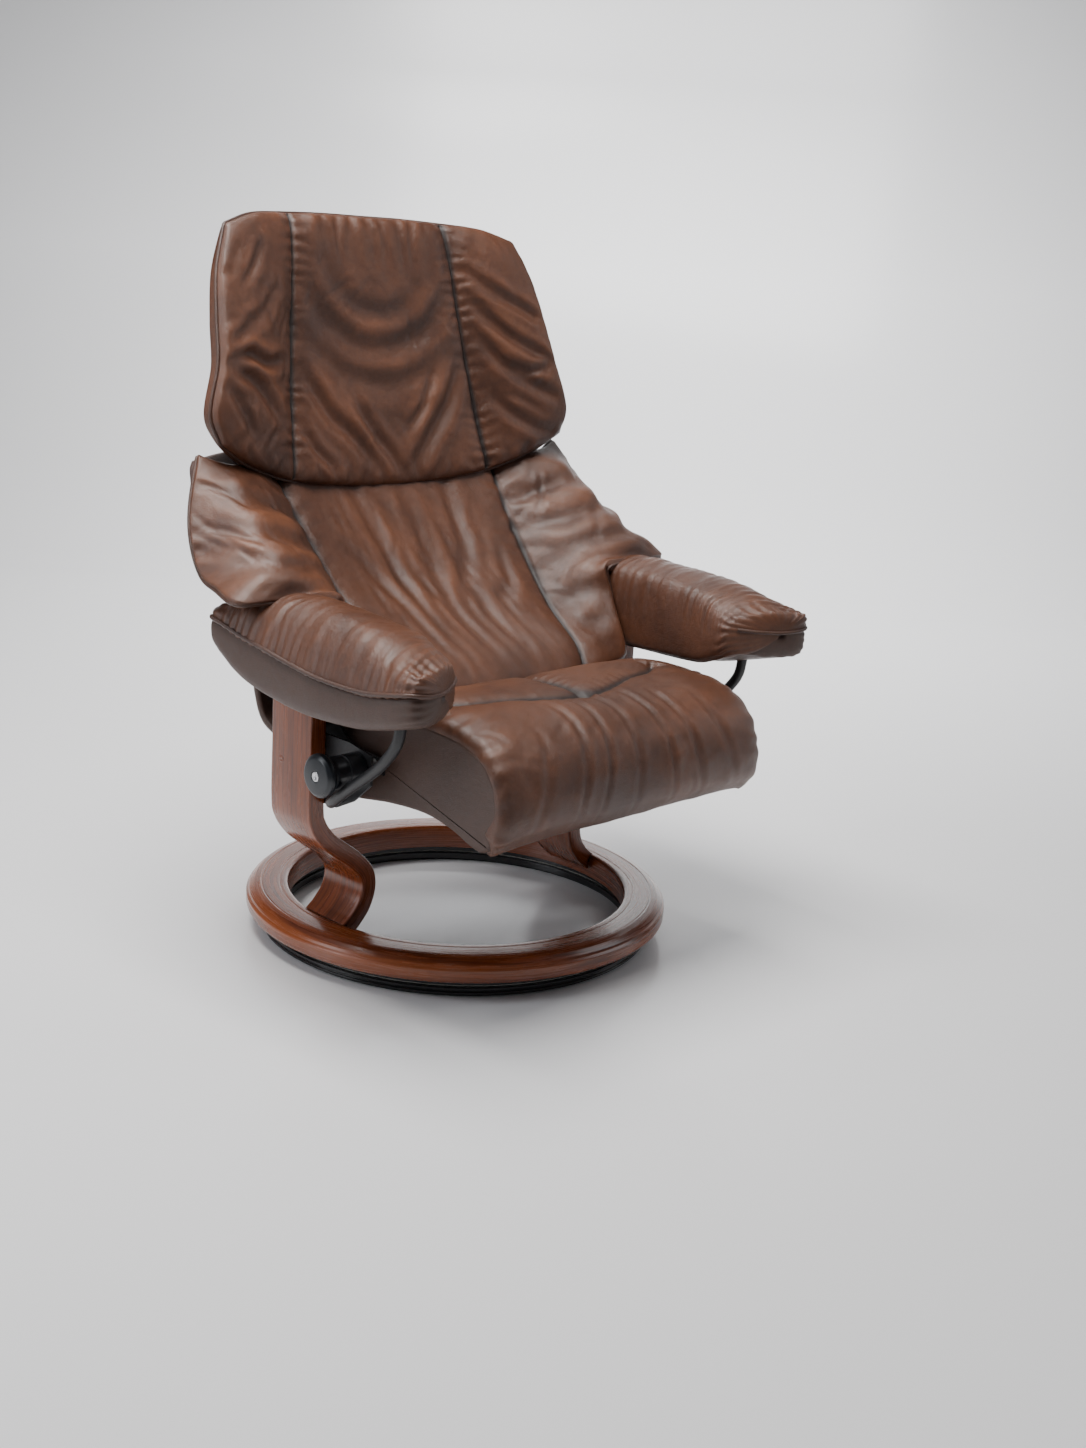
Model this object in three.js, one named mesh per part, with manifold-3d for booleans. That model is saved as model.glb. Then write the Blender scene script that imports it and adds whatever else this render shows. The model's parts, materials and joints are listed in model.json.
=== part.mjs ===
// Swivel recliner armchair on a round wooden ring base.
// Millimetres, +Z up. The chair faces -Y and the sitter's left hand is at +X.
// Shapes are drawn round the swivel axis; the finished group is then moved along Y so that
// its footprint is centred on the origin.
import * as THREE from 'three';
import { mergeVertices } from 'three/addons/utils/BufferGeometryUtils.js';
import Module from 'manifold-3d';

const wasm = await Module();
wasm.setup();

// ---------------------------------------------------------------- driving dimensions
const GAP = 0.3; // air between two pieces that touch
const TURNED_SIDES = 60;

const ring = {
  outerRadius: 309, topOuterRadius: 288, innerRadius: 248, top: 61.6, arris: 47.6, bandLow: 31,
  bottom: 25.3, innerRound: 5,
};
const swivel = {
  innerRadius: 256, outerRadius: 287, gasketHeight: 3, floorRingTop: 13.5, slipHeight: 3, slipInset: 6,
  grooveDepth: 2.5,
};
const leg = { thickness: 25, width: 85, outerFace: 313.5, top: 415, plugY: 20, plugZ: 295 };
const bolt = { shank: 3.2, head: 4.7, hole: 3.6, counterbore: 5, headHeight: 3, plugDepth: 4 };
const bracket = { thickness: 4 };
const rail = { slope: THREE.MathUtils.degToRad(14), midZ: 262, halfHeight: 6, thickness: 6, front: -118, rear: 72 };
const channel = { halfHeight: 10, front: -40, rear: 70, play: 0.5, lip: 3.5 };
const wheel = { y: -108, z: 310, radius: 29, thickness: 18, faceX: 358, capRadius: 6.5 };
const housing = { radius: 22, studRadius: 4, padRadius: 9.5 };
const arm = {
  inner: 262, outer: 390, coreOuter: 384, coreInner: 268, rear: 95, front: -300, tip: -322, panel: 6,
};
const stay = { radius: 7.5, x: 331 };
const seat = { halfWidth: 258, panWall: 4, cushionHalf: 253.7, plate: 3.6, tube: 8, tubeX: 243, spring: 2 };
const hinge = { y: 10, z: 345, plate: 3, pin: 4, hole: 4.3 };
const back = { halfWidth: 248, shellHalf: 252, shellWall: 10, tube: 9, tubeX: 252.8 };
const neck = {
  y: 250, z: 584, lean: THREE.MathUtils.degToRad(13), barX: 120, bar: 5, halfWidth: 8, length: 205, pin: 4,
  bracket: 5, guideLow: 135, guideHigh: 165, guideWall: 3,
};
const head = { topHalf: 268 };

// ---------------------------------------------------------------- materials
const material = (color, roughness, metalness = 0) =>
  new THREE.MeshStandardMaterial({ color, roughness, metalness });
const leather = material(0x5f3a26, 0.5);
const wood = material(0x6e2a14, 0.3);
const blackSteel = material(0x141414, 0.35, 0.6);
const blackPlastic = material(0x15171a, 0.4);
const brightSteel = material(0xb8babd, 0.3, 1);
const rubber = material(0x101010, 0.85);
const nylon = material(0xd8d6cf, 0.5);
const plywood = material(0xb98f5f, 0.7);
const webbing = material(0x2a2a2c, 0.9);

// ---------------------------------------------------------------- geometry helpers
// Only positions, with shared corners merged, so that a shape is one closed surface.
function welded(geometry) {
  const bare = geometry.clone();
  bare.deleteAttribute('normal');
  bare.deleteAttribute('uv');
  return mergeVertices(bare, 1e-3);
}

function signedVolume(geometry) {
  const index = geometry.index.array;
  const position = geometry.attributes.position;
  const [a, b, c] = [new THREE.Vector3(), new THREE.Vector3(), new THREE.Vector3()];
  let sum = 0;
  for (let i = 0; i < index.length; i += 3) {
    a.fromBufferAttribute(position, index[i]);
    b.fromBufferAttribute(position, index[i + 1]);
    c.fromBufferAttribute(position, index[i + 2]);
    sum += a.dot(b.cross(c)) / 6;
  }
  return sum;
}

// Welds a shape and turns its faces outwards.
function closed(geometry) {
  const shape = welded(geometry);
  if (signedVolume(shape) < 0) {
    const index = shape.index.array;
    for (let i = 0; i < index.length; i += 3) {
      const kept = index[i];
      index[i] = index[i + 2];
      index[i + 2] = kept;
    }
  }
  return shape;
}

function solid(geometry) {
  const shape = closed(geometry);
  return new wasm.Manifold(new wasm.Mesh({
    numProp: 3,
    vertProperties: new Float32Array(shape.attributes.position.array),
    triVerts: new Uint32Array(shape.index.array),
  }));
}

function fromSolid(manifold) {
  const mesh = manifold.getMesh();
  const geometry = new THREE.BufferGeometry();
  geometry.setAttribute('position', new THREE.BufferAttribute(new Float32Array(mesh.vertProperties), 3));
  geometry.setIndex(new THREE.BufferAttribute(new Uint32Array(mesh.triVerts), 1));
  return geometry;
}

const cut = (body, ...tools) =>
  fromSolid(tools.reduce((left, tool) => left.subtract(solid(tool)), solid(body)));
const common = (body, ...others) =>
  fromSolid(others.reduce((left, other) => left.intersect(solid(other)), solid(body)));
const joined = (body, ...others) =>
  fromSolid(others.reduce((left, other) => left.add(solid(other)), solid(body)));

const mirrored = (geometry) => closed(geometry.clone().scale(-1, 1, 1));
const shapeOf = (points) => new THREE.Shape(points.map(([u, v]) => new THREE.Vector2(u, v)));
const smooth = (points, divisions) =>
  new THREE.SplineCurve(points.map(([u, v]) => new THREE.Vector2(u, v)))
    .getPoints(divisions).map((p) => [p.x, p.y]);

// Outline in the side view, [y, z], from x = from to x = to.
function sidePrism(points, from, to) {
  const geometry = new THREE.ExtrudeGeometry(shapeOf(points), { depth: to - from, bevelEnabled: false });
  geometry.translate(0, 0, from);
  return geometry.applyMatrix4(new THREE.Matrix4().makeBasis(
    new THREE.Vector3(0, 1, 0), new THREE.Vector3(0, 0, 1), new THREE.Vector3(1, 0, 0)));
}

// Outline in the front view, [x, z], from y = from to y = to.
function frontPrism(points, from, to) {
  const geometry = new THREE.ExtrudeGeometry(shapeOf(points), { depth: to - from, bevelEnabled: false });
  return geometry.rotateX(Math.PI / 2).translate(0, to, 0);
}

// Outline in plan, [x, y], from z = from to z = to.
function planPrism(points, from, to) {
  const geometry = new THREE.ExtrudeGeometry(shapeOf(points), { depth: to - from, bevelEnabled: false });
  return geometry.translate(0, 0, from);
}

// A closed profile of [radius, height] turned about the swivel axis.
function turned(profile) {
  const points = [...profile, profile[0]].map(([r, z]) => new THREE.Vector2(r, z));
  return closed(new THREE.LatheGeometry(points, TURNED_SIDES).rotateX(Math.PI / 2));
}

// A round bar along X through (y, z).
function crossBar(radius, from, to, y, z, sides = 16) {
  return new THREE.CylinderGeometry(radius, radius, to - from, sides)
    .rotateZ(Math.PI / 2).translate((from + to) / 2, y, z);
}

// A round section swept along a smooth line of points.
function bentTube(points, radius, steps, sides = 8) {
  const path = new THREE.CatmullRomCurve3(points.map((p) => new THREE.Vector3(...p)));
  const section = new THREE.Shape(Array.from({ length: sides }, (_, i) => new THREE.Vector2(
    radius * Math.cos((2 * Math.PI * i) / sides), radius * Math.sin((2 * Math.PI * i) / sides))));
  return new THREE.ExtrudeGeometry(section, { steps, extrudePath: path, bevelEnabled: false });
}

// A skin over a row of equal outlines, each a list of Vector3, closed with flat ends.
function loft(outlines, flatten) {
  const count = outlines[0].length;
  const corners = outlines.flat();
  const index = [];
  for (let s = 0; s < outlines.length - 1; s += 1) {
    for (let i = 0; i < count; i += 1) {
      const a = s * count + i;
      const b = s * count + ((i + 1) % count);
      index.push(a, b, b + count, a, b + count, a + count);
    }
  }
  const last = (outlines.length - 1) * count;
  const capOf = (outline) => {
    const flat = outline.map(flatten);
    const turn = THREE.ShapeUtils.area(flat);
    return THREE.ShapeUtils.triangulateShape(flat, []).map(([a, b, c]) => (
      THREE.ShapeUtils.area([flat[a], flat[b], flat[c]]) * turn > 0 ? [a, b, c] : [a, c, b]));
  };
  capOf(outlines[0]).forEach(([a, b, c]) => index.push(c, b, a));
  capOf(outlines.at(-1)).forEach(([a, b, c]) => index.push(last + a, last + b, last + c));
  const geometry = new THREE.BufferGeometry().setFromPoints(corners);
  geometry.setIndex(index);
  return closed(geometry);
}

const group = new THREE.Group();

function add(name, geometry, finish) {
  const mesh = new THREE.Mesh(closed(geometry), finish);
  mesh.geometry.computeVertexNormals();
  mesh.name = name;
  group.add(mesh);
}

// The same piece for the sitter's left (+X) and right (-X).
function addPair(name, geometry, finish) {
  add(`${name}_left`, geometry, finish);
  add(`${name}_right`, mirrored(geometry), finish);
}

// ---------------------------------------------------------------- floor unit and ring
const slipFloor = swivel.floorRingTop + GAP;
const swivelRingLow = slipFloor + swivel.slipHeight + GAP;

function addFloorUnit() {
  const { innerRadius: inner, outerRadius: outer, slipInset, grooveDepth } = swivel;
  const low = swivel.gasketHeight + GAP;
  const top = swivel.floorRingTop;
  const mid = (low + top) / 2;
  add('floor_gasket', turned([
    [inner + slipInset, 0], [outer - slipInset, 0],
    [outer - slipInset, swivel.gasketHeight], [inner + slipInset, swivel.gasketHeight],
  ]), rubber);
  add('floor_ring', turned([
    [inner, low], [outer, low], [outer, mid - 1.5], [outer - grooveDepth, mid],
    [outer, mid + 1.5], [outer, top], [inner, top],
  ]), blackSteel);
  add('slip_ring', turned([
    [inner + slipInset, slipFloor], [outer - slipInset, slipFloor],
    [outer - slipInset, slipFloor + swivel.slipHeight], [inner + slipInset, slipFloor + swivel.slipHeight],
  ]), nylon);
  add('swivel_ring', turned([
    [inner, swivelRingLow], [outer, swivelRingLow],
    [outer, ring.bottom - GAP], [inner, ring.bottom - GAP],
  ]), blackSteel);
}

function addBaseRing() {
  const { innerRadius: inner, outerRadius: outer, topOuterRadius, top, arris, bottom, bandLow, innerRound } = ring;
  const crown = outer - topOuterRadius;
  const drop = top - arris;
  add('base_ring', turned([
    [inner, bottom], [swivel.outerRadius + 4, bottom], [outer - 3, bandLow - 3], [outer, bandLow],
    [outer, arris], [outer - crown * 0.14, arris + drop * 0.39], [outer - crown * 0.48, arris + drop * 0.79],
    [topOuterRadius, top], [inner + innerRound, top], [inner + innerRound * 0.3, top - innerRound * 0.3],
    [inner, top - innerRound],
  ]), wood);
}

// ---------------------------------------------------------------- legs
// Centre line of the bent leg in the front view, [x, z]: down from the arm, in, and back out
// to the inner wall of the ring.
const legMidX = leg.outerFace - leg.thickness / 2;
const legLine = [
  [legMidX, leg.top], [legMidX, 330], [legMidX, 240], [legMidX - 5, 214], [legMidX - 22, 190],
  [legMidX - 45, 171], [legMidX - 70, 152], [legMidX - 90, 130], [legMidX - 95, 108], [legMidX - 88, 84],
  [legMidX - 73, 65], [legMidX - 53, 52], [ring.innerRadius + 6, ring.top - leg.thickness / 2],
];

function legOutline() {
  const curve = new THREE.SplineCurve(legLine.map(([x, z]) => new THREE.Vector2(x, z)));
  const count = 30;
  const offset = (side) => Array.from({ length: count + 1 }, (_, i) => {
    const t = i / count;
    const point = curve.getPoint(t);
    const along = curve.getTangent(t);
    return [point.x - side * along.y * leg.thickness / 2, point.y + side * along.x * leg.thickness / 2];
  });
  return [...offset(1), ...offset(-1).reverse()];
}

function addLegs() {
  const innerFace = leg.outerFace - leg.thickness;
  const half = leg.width / 2;
  const ringRoom = turned([
    [ring.innerRadius - GAP, ring.bottom - 5], [ring.outerRadius + 20, ring.bottom - 5],
    [ring.outerRadius + 20, ring.top + 2], [ring.innerRadius - GAP, ring.top + 2],
  ]);
  const shank = crossBar(bolt.hole, innerFace - 5, leg.outerFace + 5, leg.plugY, leg.plugZ, 12);
  const counterbore = crossBar(bolt.counterbore,
    leg.outerFace - bolt.headHeight - bolt.plugDepth - GAP, leg.outerFace + 5, leg.plugY, leg.plugZ, 12);
  addPair('leg', cut(frontPrism(legOutline(), -half, half), ringRoom, shank, counterbore), wood);
  const plugX = leg.outerFace - bolt.plugDepth;
  addPair('leg_plug', crossBar(bolt.head, plugX, leg.outerFace, leg.plugY, leg.plugZ, 12), wood);
  const headX = plugX - GAP - bolt.headHeight + 0.3;
  addPair('leg_bolt', joined(
    crossBar(bolt.head, headX, plugX - GAP, leg.plugY, leg.plugZ, 12),
    crossBar(bolt.shank, innerFace - bracket.thickness - 2, headX + 1, leg.plugY, leg.plugZ, 12),
  ), brightSteel);
}

// ---------------------------------------------------------------- side mechanism on the legs
const bracketOuter = leg.outerFace - leg.thickness - GAP;
const bracketInner = bracketOuter - bracket.thickness;
const railOuter = bracketInner - GAP;
const railInner = railOuter - rail.thickness;
const plateOuter = seat.halfWidth + GAP + seat.plate;
const railZ = (y) => rail.midZ - Math.tan(rail.slope) * y;

// A section [x, height above the slide line] run along the sloping slide line.
function alongSlide(section, front, rear) {
  const length = (rear - front) / Math.cos(rail.slope);
  const up = new THREE.Vector3(0, Math.sin(rail.slope), Math.cos(rail.slope));
  const forward = new THREE.Vector3(0, -Math.cos(rail.slope), Math.sin(rail.slope));
  const geometry = new THREE.ExtrudeGeometry(shapeOf(section), { depth: length, bevelEnabled: false });
  geometry.applyMatrix4(new THREE.Matrix4().makeBasis(new THREE.Vector3(1, 0, 0), up, forward));
  return geometry.translate(0, rear, railZ(rear));
}

function addSideMechanism() {
  const studHole = crossBar(housing.studRadius + GAP, bracketInner - 5, wheel.faceX, wheel.y, wheel.z, 16);
  addPair('side_bracket', cut(
    sidePrism([
      [-134, 292], [-134, 332], [-90, 340], [46, 340], [62, 320], [62, 214], [44, 214], [44, 243],
      [-66, 245], [-100, 262],
    ], bracketInner, bracketOuter),
    studHole,
    crossBar(bolt.hole, bracketInner - 5, bracketOuter + 5, leg.plugY, leg.plugZ, 12),
  ), blackSteel);
  addPair('glide_rail', alongSlide([
    [railInner, -rail.halfHeight], [railOuter, -rail.halfHeight],
    [railOuter, rail.halfHeight], [railInner, rail.halfHeight],
  ], rail.front, rail.rear), brightSteel);
  const housingEnd = wheel.faceX - wheel.thickness - GAP;
  addPair('clamp_housing', cut(
    crossBar(housing.radius, bracketOuter + GAP, housingEnd, wheel.y, wheel.z, 24), studHole), blackPlastic);
  add('cross_tube', crossBar(8, -bracketInner + GAP, bracketInner - GAP, 53, 223, 12), blackSteel);
  addPair('arm_stay', bentTube([
    [bracketOuter + GAP, -76, 262], [bracketOuter + 9, -76, 262], [bracketOuter + 24, -86, 263], [stay.x - 4, -108, 272],
    [stay.x, -147, 301], [stay.x, -186, 329], [stay.x, -212, 352], [stay.x, -233, 380], [stay.x, -239, 410.5 - 0.2 * stay.radius],
  ], stay.radius, 22), blackSteel);
}

function addHandwheels() {
  const { y, z, radius, thickness, faceX, capRadius } = wheel;
  const rim = faceX - thickness;
  // [radius, distance along the axis], with a blind bore for the stud and a dish for the cap
  const profile = [
    [0, faceX - 8], [housing.studRadius + GAP, faceX - 8], [housing.studRadius + GAP, rim], [radius - 7, rim],
    [radius - 2, rim + 4], [radius, rim + 8], [radius - 1, faceX - 4.5], [radius * 0.7, faceX - 1.4],
    [capRadius + GAP, faceX - 0.4], [capRadius + GAP, faceX - 2], [0, faceX - 2],
  ];
  const disc = new THREE.LatheGeometry(profile.map(([r, h]) => new THREE.Vector2(r, h)), 32)
    .rotateZ(-Math.PI / 2).translate(0, y, z);
  addPair('handwheel', disc, blackPlastic);
  addPair('wheel_cap', crossBar(capRadius, faceX - 2 + GAP, faceX, y, z, 24), brightSteel);
  // The stud carries the friction pad that is pressed on the seat plate.
  addPair('clamp_stud', joined(
    crossBar(housing.studRadius, bracketInner - 1, faceX - 8 - GAP, y, z, 16),
    crossBar(housing.padRadius, plateOuter + GAP, bracketInner - GAP, y, z, 16),
  ), brightSteel);
}

// ---------------------------------------------------------------- arms
// [y, inner low z, core top z, outer edge z, crest z, outer x]
const armStations = [
  [arm.tip, 436, 440, 462, 474, 366], [arm.tip + 8, 428, 432, 464, 486, 378],
  [arm.front - 1.4, 424, 428, 464, 492, 386], [arm.front - 1, 420, 455.3, 464, 492, 386],
  [-250, 410, 444.3, 454, 507, arm.outer], [-153, 406, 442.3, 452, 522, arm.outer],
  [-60, 405, 452.3, 462, 528, arm.outer], [20, 410, 468.3, 478, 523, arm.outer],
  [60, 430, 479.3, 488, 511, arm.outer], [arm.rear, 456, 483.3, 491, 501, arm.outer],
];

function armPad() {
  const outlines = armStations.map(([y, low, coreTop, edge, crest, outer]) => [
    [arm.coreInner - GAP, low], [arm.inner, low + 3], [arm.inner, (low + crest) / 2], [270, crest - 14],
    [292, crest - 4], [325, crest], [356, crest - 8], [outer - 8, (edge + crest) / 2 + 2],
    [outer, edge], [Math.min(outer - 4, arm.coreOuter + GAP), edge - 4], [Math.min(outer, arm.coreOuter) - 14, coreTop],
    [arm.coreInner - GAP, coreTop],
  ].map(([x, z]) => new THREE.Vector3(x, y, z)));
  return loft(outlines, (p) => new THREE.Vector2(p.x, p.z));
}

function addArms() {
  const core = sidePrism([
    [85, 466], [52, leg.top + GAP], [-50, leg.top + GAP], [-113, 407.6], [-220, 407.6], [-298, 428],
    [-298, 454], [-250, 443.6], [-153, 441.6], [-60, 451.6], [20, 467.6], [60, 478.6], [85, 481.4],
  ], arm.coreInner, arm.coreOuter - 14.5);
  addPair('arm_core', core, plywood);
  addPair('arm_pad', armPad(), leather);
  const lower = smooth([[80, 458], [44, 436], [1, 413], [-60, 399], [-113, 396], [-220, 398], [-296, 421]], 12);
  const upper = [[-296, 454], [-250, 443.6], [-153, 441.6], [-60, 451.6], [20, 467.6], [60, 478.6], [80, 481]];
  addPair('arm_side_panel',
    sidePrism([...lower, ...upper], arm.coreOuter - 14.5 + GAP, arm.outer - arm.panel), leather);
}

// ---------------------------------------------------------------- seat
// Top line of the side panels, where they meet the cushion's front roll, [y, z].
const panTop = [[-269, 277], [-248, 306], [-216, 330], [-172, 352], [-120, 366], [-60, 370], [52, 366]];
const panBottom = [[60, 250], [0, 247], [-66, 254], [-132, 268], [-204, 273], [-262, 272]];

// The seat frame lies on a slightly falling line; the springs and then the cushion rest on it.
const frameZ = (y) => 279 - 0.07 * y;
const padUnder = (y) => frameZ(y) + seat.tube + 2 * seat.spring + 2 * GAP;

function addSeat() {
  const { halfWidth, panWall, cushionHalf } = seat;
  addPair('seat_side_plate', cut(
    sidePrism([
      [-128, 300], [-128, 321], [-62, 325], [-16, 362], [34, 362], [42, 320], [76, 258], [76, 232],
      [60, 237], [-44, 262], [-62, 300],
    ], halfWidth + GAP, plateOuter),
    crossBar(hinge.hole, halfWidth - 1, plateOuter + 1, hinge.y, hinge.z, 16),
  ), blackSteel);
  const web = railInner - channel.play;
  const lipEnd = railOuter - channel.play;
  const lipLow = channel.halfHeight - channel.lip;
  addPair('glide_channel', alongSlide([
    [plateOuter + GAP, -channel.halfHeight], [lipEnd, -channel.halfHeight], [lipEnd, -lipLow], [web, -lipLow],
    [web, lipLow], [lipEnd, lipLow], [lipEnd, channel.halfHeight], [plateOuter + GAP, channel.halfHeight],
  ], channel.front, channel.rear), nylon);

  add('seat_cushion', sidePrism([
    ...smooth([
      [-102, 403], [-160, 405], [-244, 402], [-300, 388], [-340, 360], [-354, 318], [-352, 262],
      [-338, 242], [-310, 240], [-285, 256], [-273, 286],
    ], 22),
    [-262, padUnder(-262)], [25, padUnder(25)], [25, 340], [-102, 346],
  ], -cushionHalf, cushionHalf), leather);
  const outerWall = sidePrism([...panTop, ...panBottom], -halfWidth, halfWidth);
  const inset = halfWidth - panWall;
  addPair('seat_side_panel', common(
    outerWall, sidePrism([[-300, 200], [-300, 400], [100, 400], [100, 200]], inset, halfWidth)), leather);
  add('dust_cover', sidePrism([
    [48, 253], [0, 250], [-66, 257], [-132, 271], [-204, 276], [-236, 276], [-236, 278], [-204, 278],
    [-132, 273], [-66, 259], [0, 252], [48, 255],
  ], -inset + GAP, inset - GAP), webbing);

  const corner = 40;
  add('seat_frame', joined(bentTube([
    [-seat.tubeX, 20, frameZ(20)], [-seat.tubeX, -80, frameZ(-80)], [-seat.tubeX, -225 + corner, frameZ(-185)],
    [-seat.tubeX + corner / 3, -212, frameZ(-212)], [-seat.tubeX + corner, -225, frameZ(-225)],
    [0, -225, frameZ(-225)],
    [seat.tubeX - corner, -225, frameZ(-225)], [seat.tubeX - corner / 3, -212, frameZ(-212)],
    [seat.tubeX, -225 + corner, frameZ(-185)], [seat.tubeX, -80, frameZ(-80)], [seat.tubeX, 20, frameZ(20)],
  ], seat.tube, 40), crossBar(seat.tube, -inset + GAP, inset - GAP, 20, frameZ(20), 10)), blackSteel);

  const springCount = 4;
  const waves = 7;
  const springFront = -225;
  const springRear = 20;
  for (let s = 0; s < springCount; s += 1) {
    const x = (s - (springCount - 1) / 2) * 105;
    const line = Array.from({ length: waves * 2 + 1 }, (_, i) => {
      const y = springFront + ((springRear - springFront) * i) / (waves * 2);
      const sway = i % 2 === 0 ? 0 : (i % 4 === 1 ? 20 : -20);
      return [x + sway, y, frameZ(y) + seat.tube + seat.spring + GAP];
    });
    add(`seat_spring_${s + 1}`, bentTube(line, seat.spring, waves * 5, 4), brightSteel);
  }
}

// ---------------------------------------------------------------- back
// Front face of the lower back cushion in the side view, [y, z].
const backFront = [
  [-98, 352], [-99, 384], [-84, 404], [-40, 428], [25, 460], [88, 505], [138, 560], [180, 614], [216, 664],
];
const backRear = [
  [240, 664], [216, 606], [206, 587], [188, 553], [159, 504], [129, 444], [109, 402], [100, 384], [70, 362],
  [30, 352],
];
const shellOuter = [
  [104, 276], [150, 292], [190, 340], [222, 420], [250, 500], [280, 580], [304, 640], [314, 672],
];

function bandOutline(line, wall) {
  const offset = line.map(([y, z], i) => {
    const [ay, az] = line[Math.max(i - 1, 0)];
    const [by, bz] = line[Math.min(i + 1, line.length - 1)];
    const length = Math.hypot(by - ay, bz - az);
    return [y - (wall * (bz - az)) / length, z + (wall * (by - ay)) / length];
  });
  return [...line, ...offset.reverse()];
}

const shellCurve = smooth(shellOuter, 14);

function addBack() {
  add('back_cushion', sidePrism([...smooth(backFront, 16), ...backRear],
    -back.halfWidth, back.halfWidth), leather);

  // Side wing: side view, front view and plan outlines cut from one another.
  addPair('back_wing', common(
    sidePrism([
      [12, 531], [112, 531], [180, 560], [214, 600], [216, 672], [166, 672], [122, 642], [80, 596], [40, 556],
    ], back.halfWidth + GAP, 420),
    frontPrism([
      [back.halfWidth + GAP, 500], [402, 500], [408, 536], [398, 566], [372, 612], [350, 670], [335, 668],
      [300, 649], [back.halfWidth + GAP, 636],
    ], 0, 230),
    planPrism([
      [back.halfWidth + GAP, 110], [300, 66], [356, 18], [392, 8], [412, 44], [404, 128], [360, 214],
      [back.halfWidth + GAP, 222],
    ], 490, 690),
  ), leather);

  const shellOutline = [
    [-back.shellHalf, 260], [back.shellHalf, 260], [back.shellHalf, 536], [330, 560], [345, 673],
    [-345, 673], [-330, 560], [-back.shellHalf, 536],
  ];
  add('back_shell', common(
    sidePrism(bandOutline(shellCurve, back.shellWall), -350, 350),
    frontPrism(shellOutline, 0, 400),
  ), leather);

  const half = back.tubeX;
  const hoop = [
    [half, 118, 398], [half, 138, 440], [half, 168, 500], [half - 5, 196, 548], [half - 18, 214, 582],
    [half - 52, 223, 600], [half - 100, 226, 604],
  ];
  const loop = bentTube([
    ...hoop.map(([x, y, z]) => [-x, y, z]), [0, 226, 604], ...hoop.slice().reverse(),
  ], back.tube, 46);
  // Ears on the top of the frame carry the pins of the headrest link.
  const ear = (x) => sidePrism([
    [218, 606], [216, 596], [neck.y - 8, neck.z - 12], [neck.y + 14, neck.z - 30], [neck.y + 20, neck.z - 8],
    [neck.y + 9, neck.z + 8], [234, 612],
  ], x, x + neck.bracket);
  const earX = neck.barX - neck.bar / 2 - GAP - neck.bracket;
  add('back_frame', cut(
    joined(loop, ear(earX), ear(-earX - neck.bracket)),
    crossBar(neck.pin + GAP, -neck.barX, neck.barX, neck.y, neck.z, 16),
    sidePrism(bandOutline(shellCurve, back.shellWall + GAP), -back.shellHalf, back.shellHalf),
  ), blackSteel);
  [[149, 460, 243.4], [180, 520, 240.4]].forEach(([y, z, halfLength], i) => {
    const strap = new THREE.BoxGeometry(2 * halfLength, 3, 42);
    add(`back_strap_${i + 1}`, strap.rotateX(-0.5).translate(0, y, z), webbing);
  });

  const plateInner = plateOuter + GAP;
  addPair('hinge_plate', cut(
    sidePrism([
      [-5, 352], [-3, 336], [10, 329], [26, 335], [84, 356], [126, 384], [140, 412], [122, 424],
      [100, 396], [60, 376], [18, 362], [2, 360],
    ], plateInner, plateInner + hinge.plate),
    crossBar(hinge.hole, plateInner - 1, plateInner + hinge.plate + 1, hinge.y, hinge.z, 16),
  ), blackSteel);
  const pinEnd = plateInner + hinge.plate + GAP;
  addPair('hinge_pin', joined(
    crossBar(hinge.pin, seat.halfWidth + GAP, pinEnd + 1, hinge.y, hinge.z, 16),
    crossBar(hinge.pin + 3, pinEnd, pinEnd + 3, hinge.y, hinge.z, 16),
  ), brightSteel);
}

// ---------------------------------------------------------------- headrest
// A side outline given as [across, along] the leaning neck bars, measured from the link's pin.
function alongNeck(points, from, to) {
  return sidePrism(points.map(([across, along]) => [
    neck.y + across * Math.cos(neck.lean) + along * Math.sin(neck.lean),
    neck.z - across * Math.sin(neck.lean) + along * Math.cos(neck.lean),
  ]), from, to);
}

const blockOf = (halfWidth, low, high) => [
  [-halfWidth, low], [halfWidth, low], [halfWidth, high], [-halfWidth, high],
];

function addHeadLink() {
  const { barX, bar, halfWidth, length, pin, bracket: ear } = neck;
  const upright = (x) => alongNeck(blockOf(halfWidth, -halfWidth, length), x - bar / 2, x + bar / 2);
  const pinEnd = barX - bar / 2 - GAP - ear - 1;
  const tie = alongNeck(blockOf(halfWidth - 2, 60, 66), -barX, barX);
  add('head_link', joined(
    upright(barX), upright(-barX), tie,
    crossBar(pin, pinEnd, barX, neck.y, neck.z, 16), crossBar(pin, -barX, -pinEnd, neck.y, neck.z, 16),
  ), blackSteel);
}

function headGuide() {
  const { barX, bar, halfWidth, guideLow, guideHigh, guideWall } = neck;
  const inner = bar / 2 + GAP;
  const outer = inner + guideWall;
  const sleeve = (x) => alongNeck(blockOf(halfWidth + GAP + guideWall, guideLow, guideHigh), x - outer, x + outer);
  const slot = (x) => alongNeck(blockOf(halfWidth + GAP, guideLow - 5, guideHigh + 5), x - inner, x + inner);
  const plate = alongNeck([
    [-5, guideLow], [5, guideLow], [5, guideHigh + 80], [-5, guideHigh + 80],
  ], -barX + outer - 1, barX - outer + 1);
  return cut(joined(sleeve(barX), sleeve(-barX), plate), slot(barX), slot(-barX));
}

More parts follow.
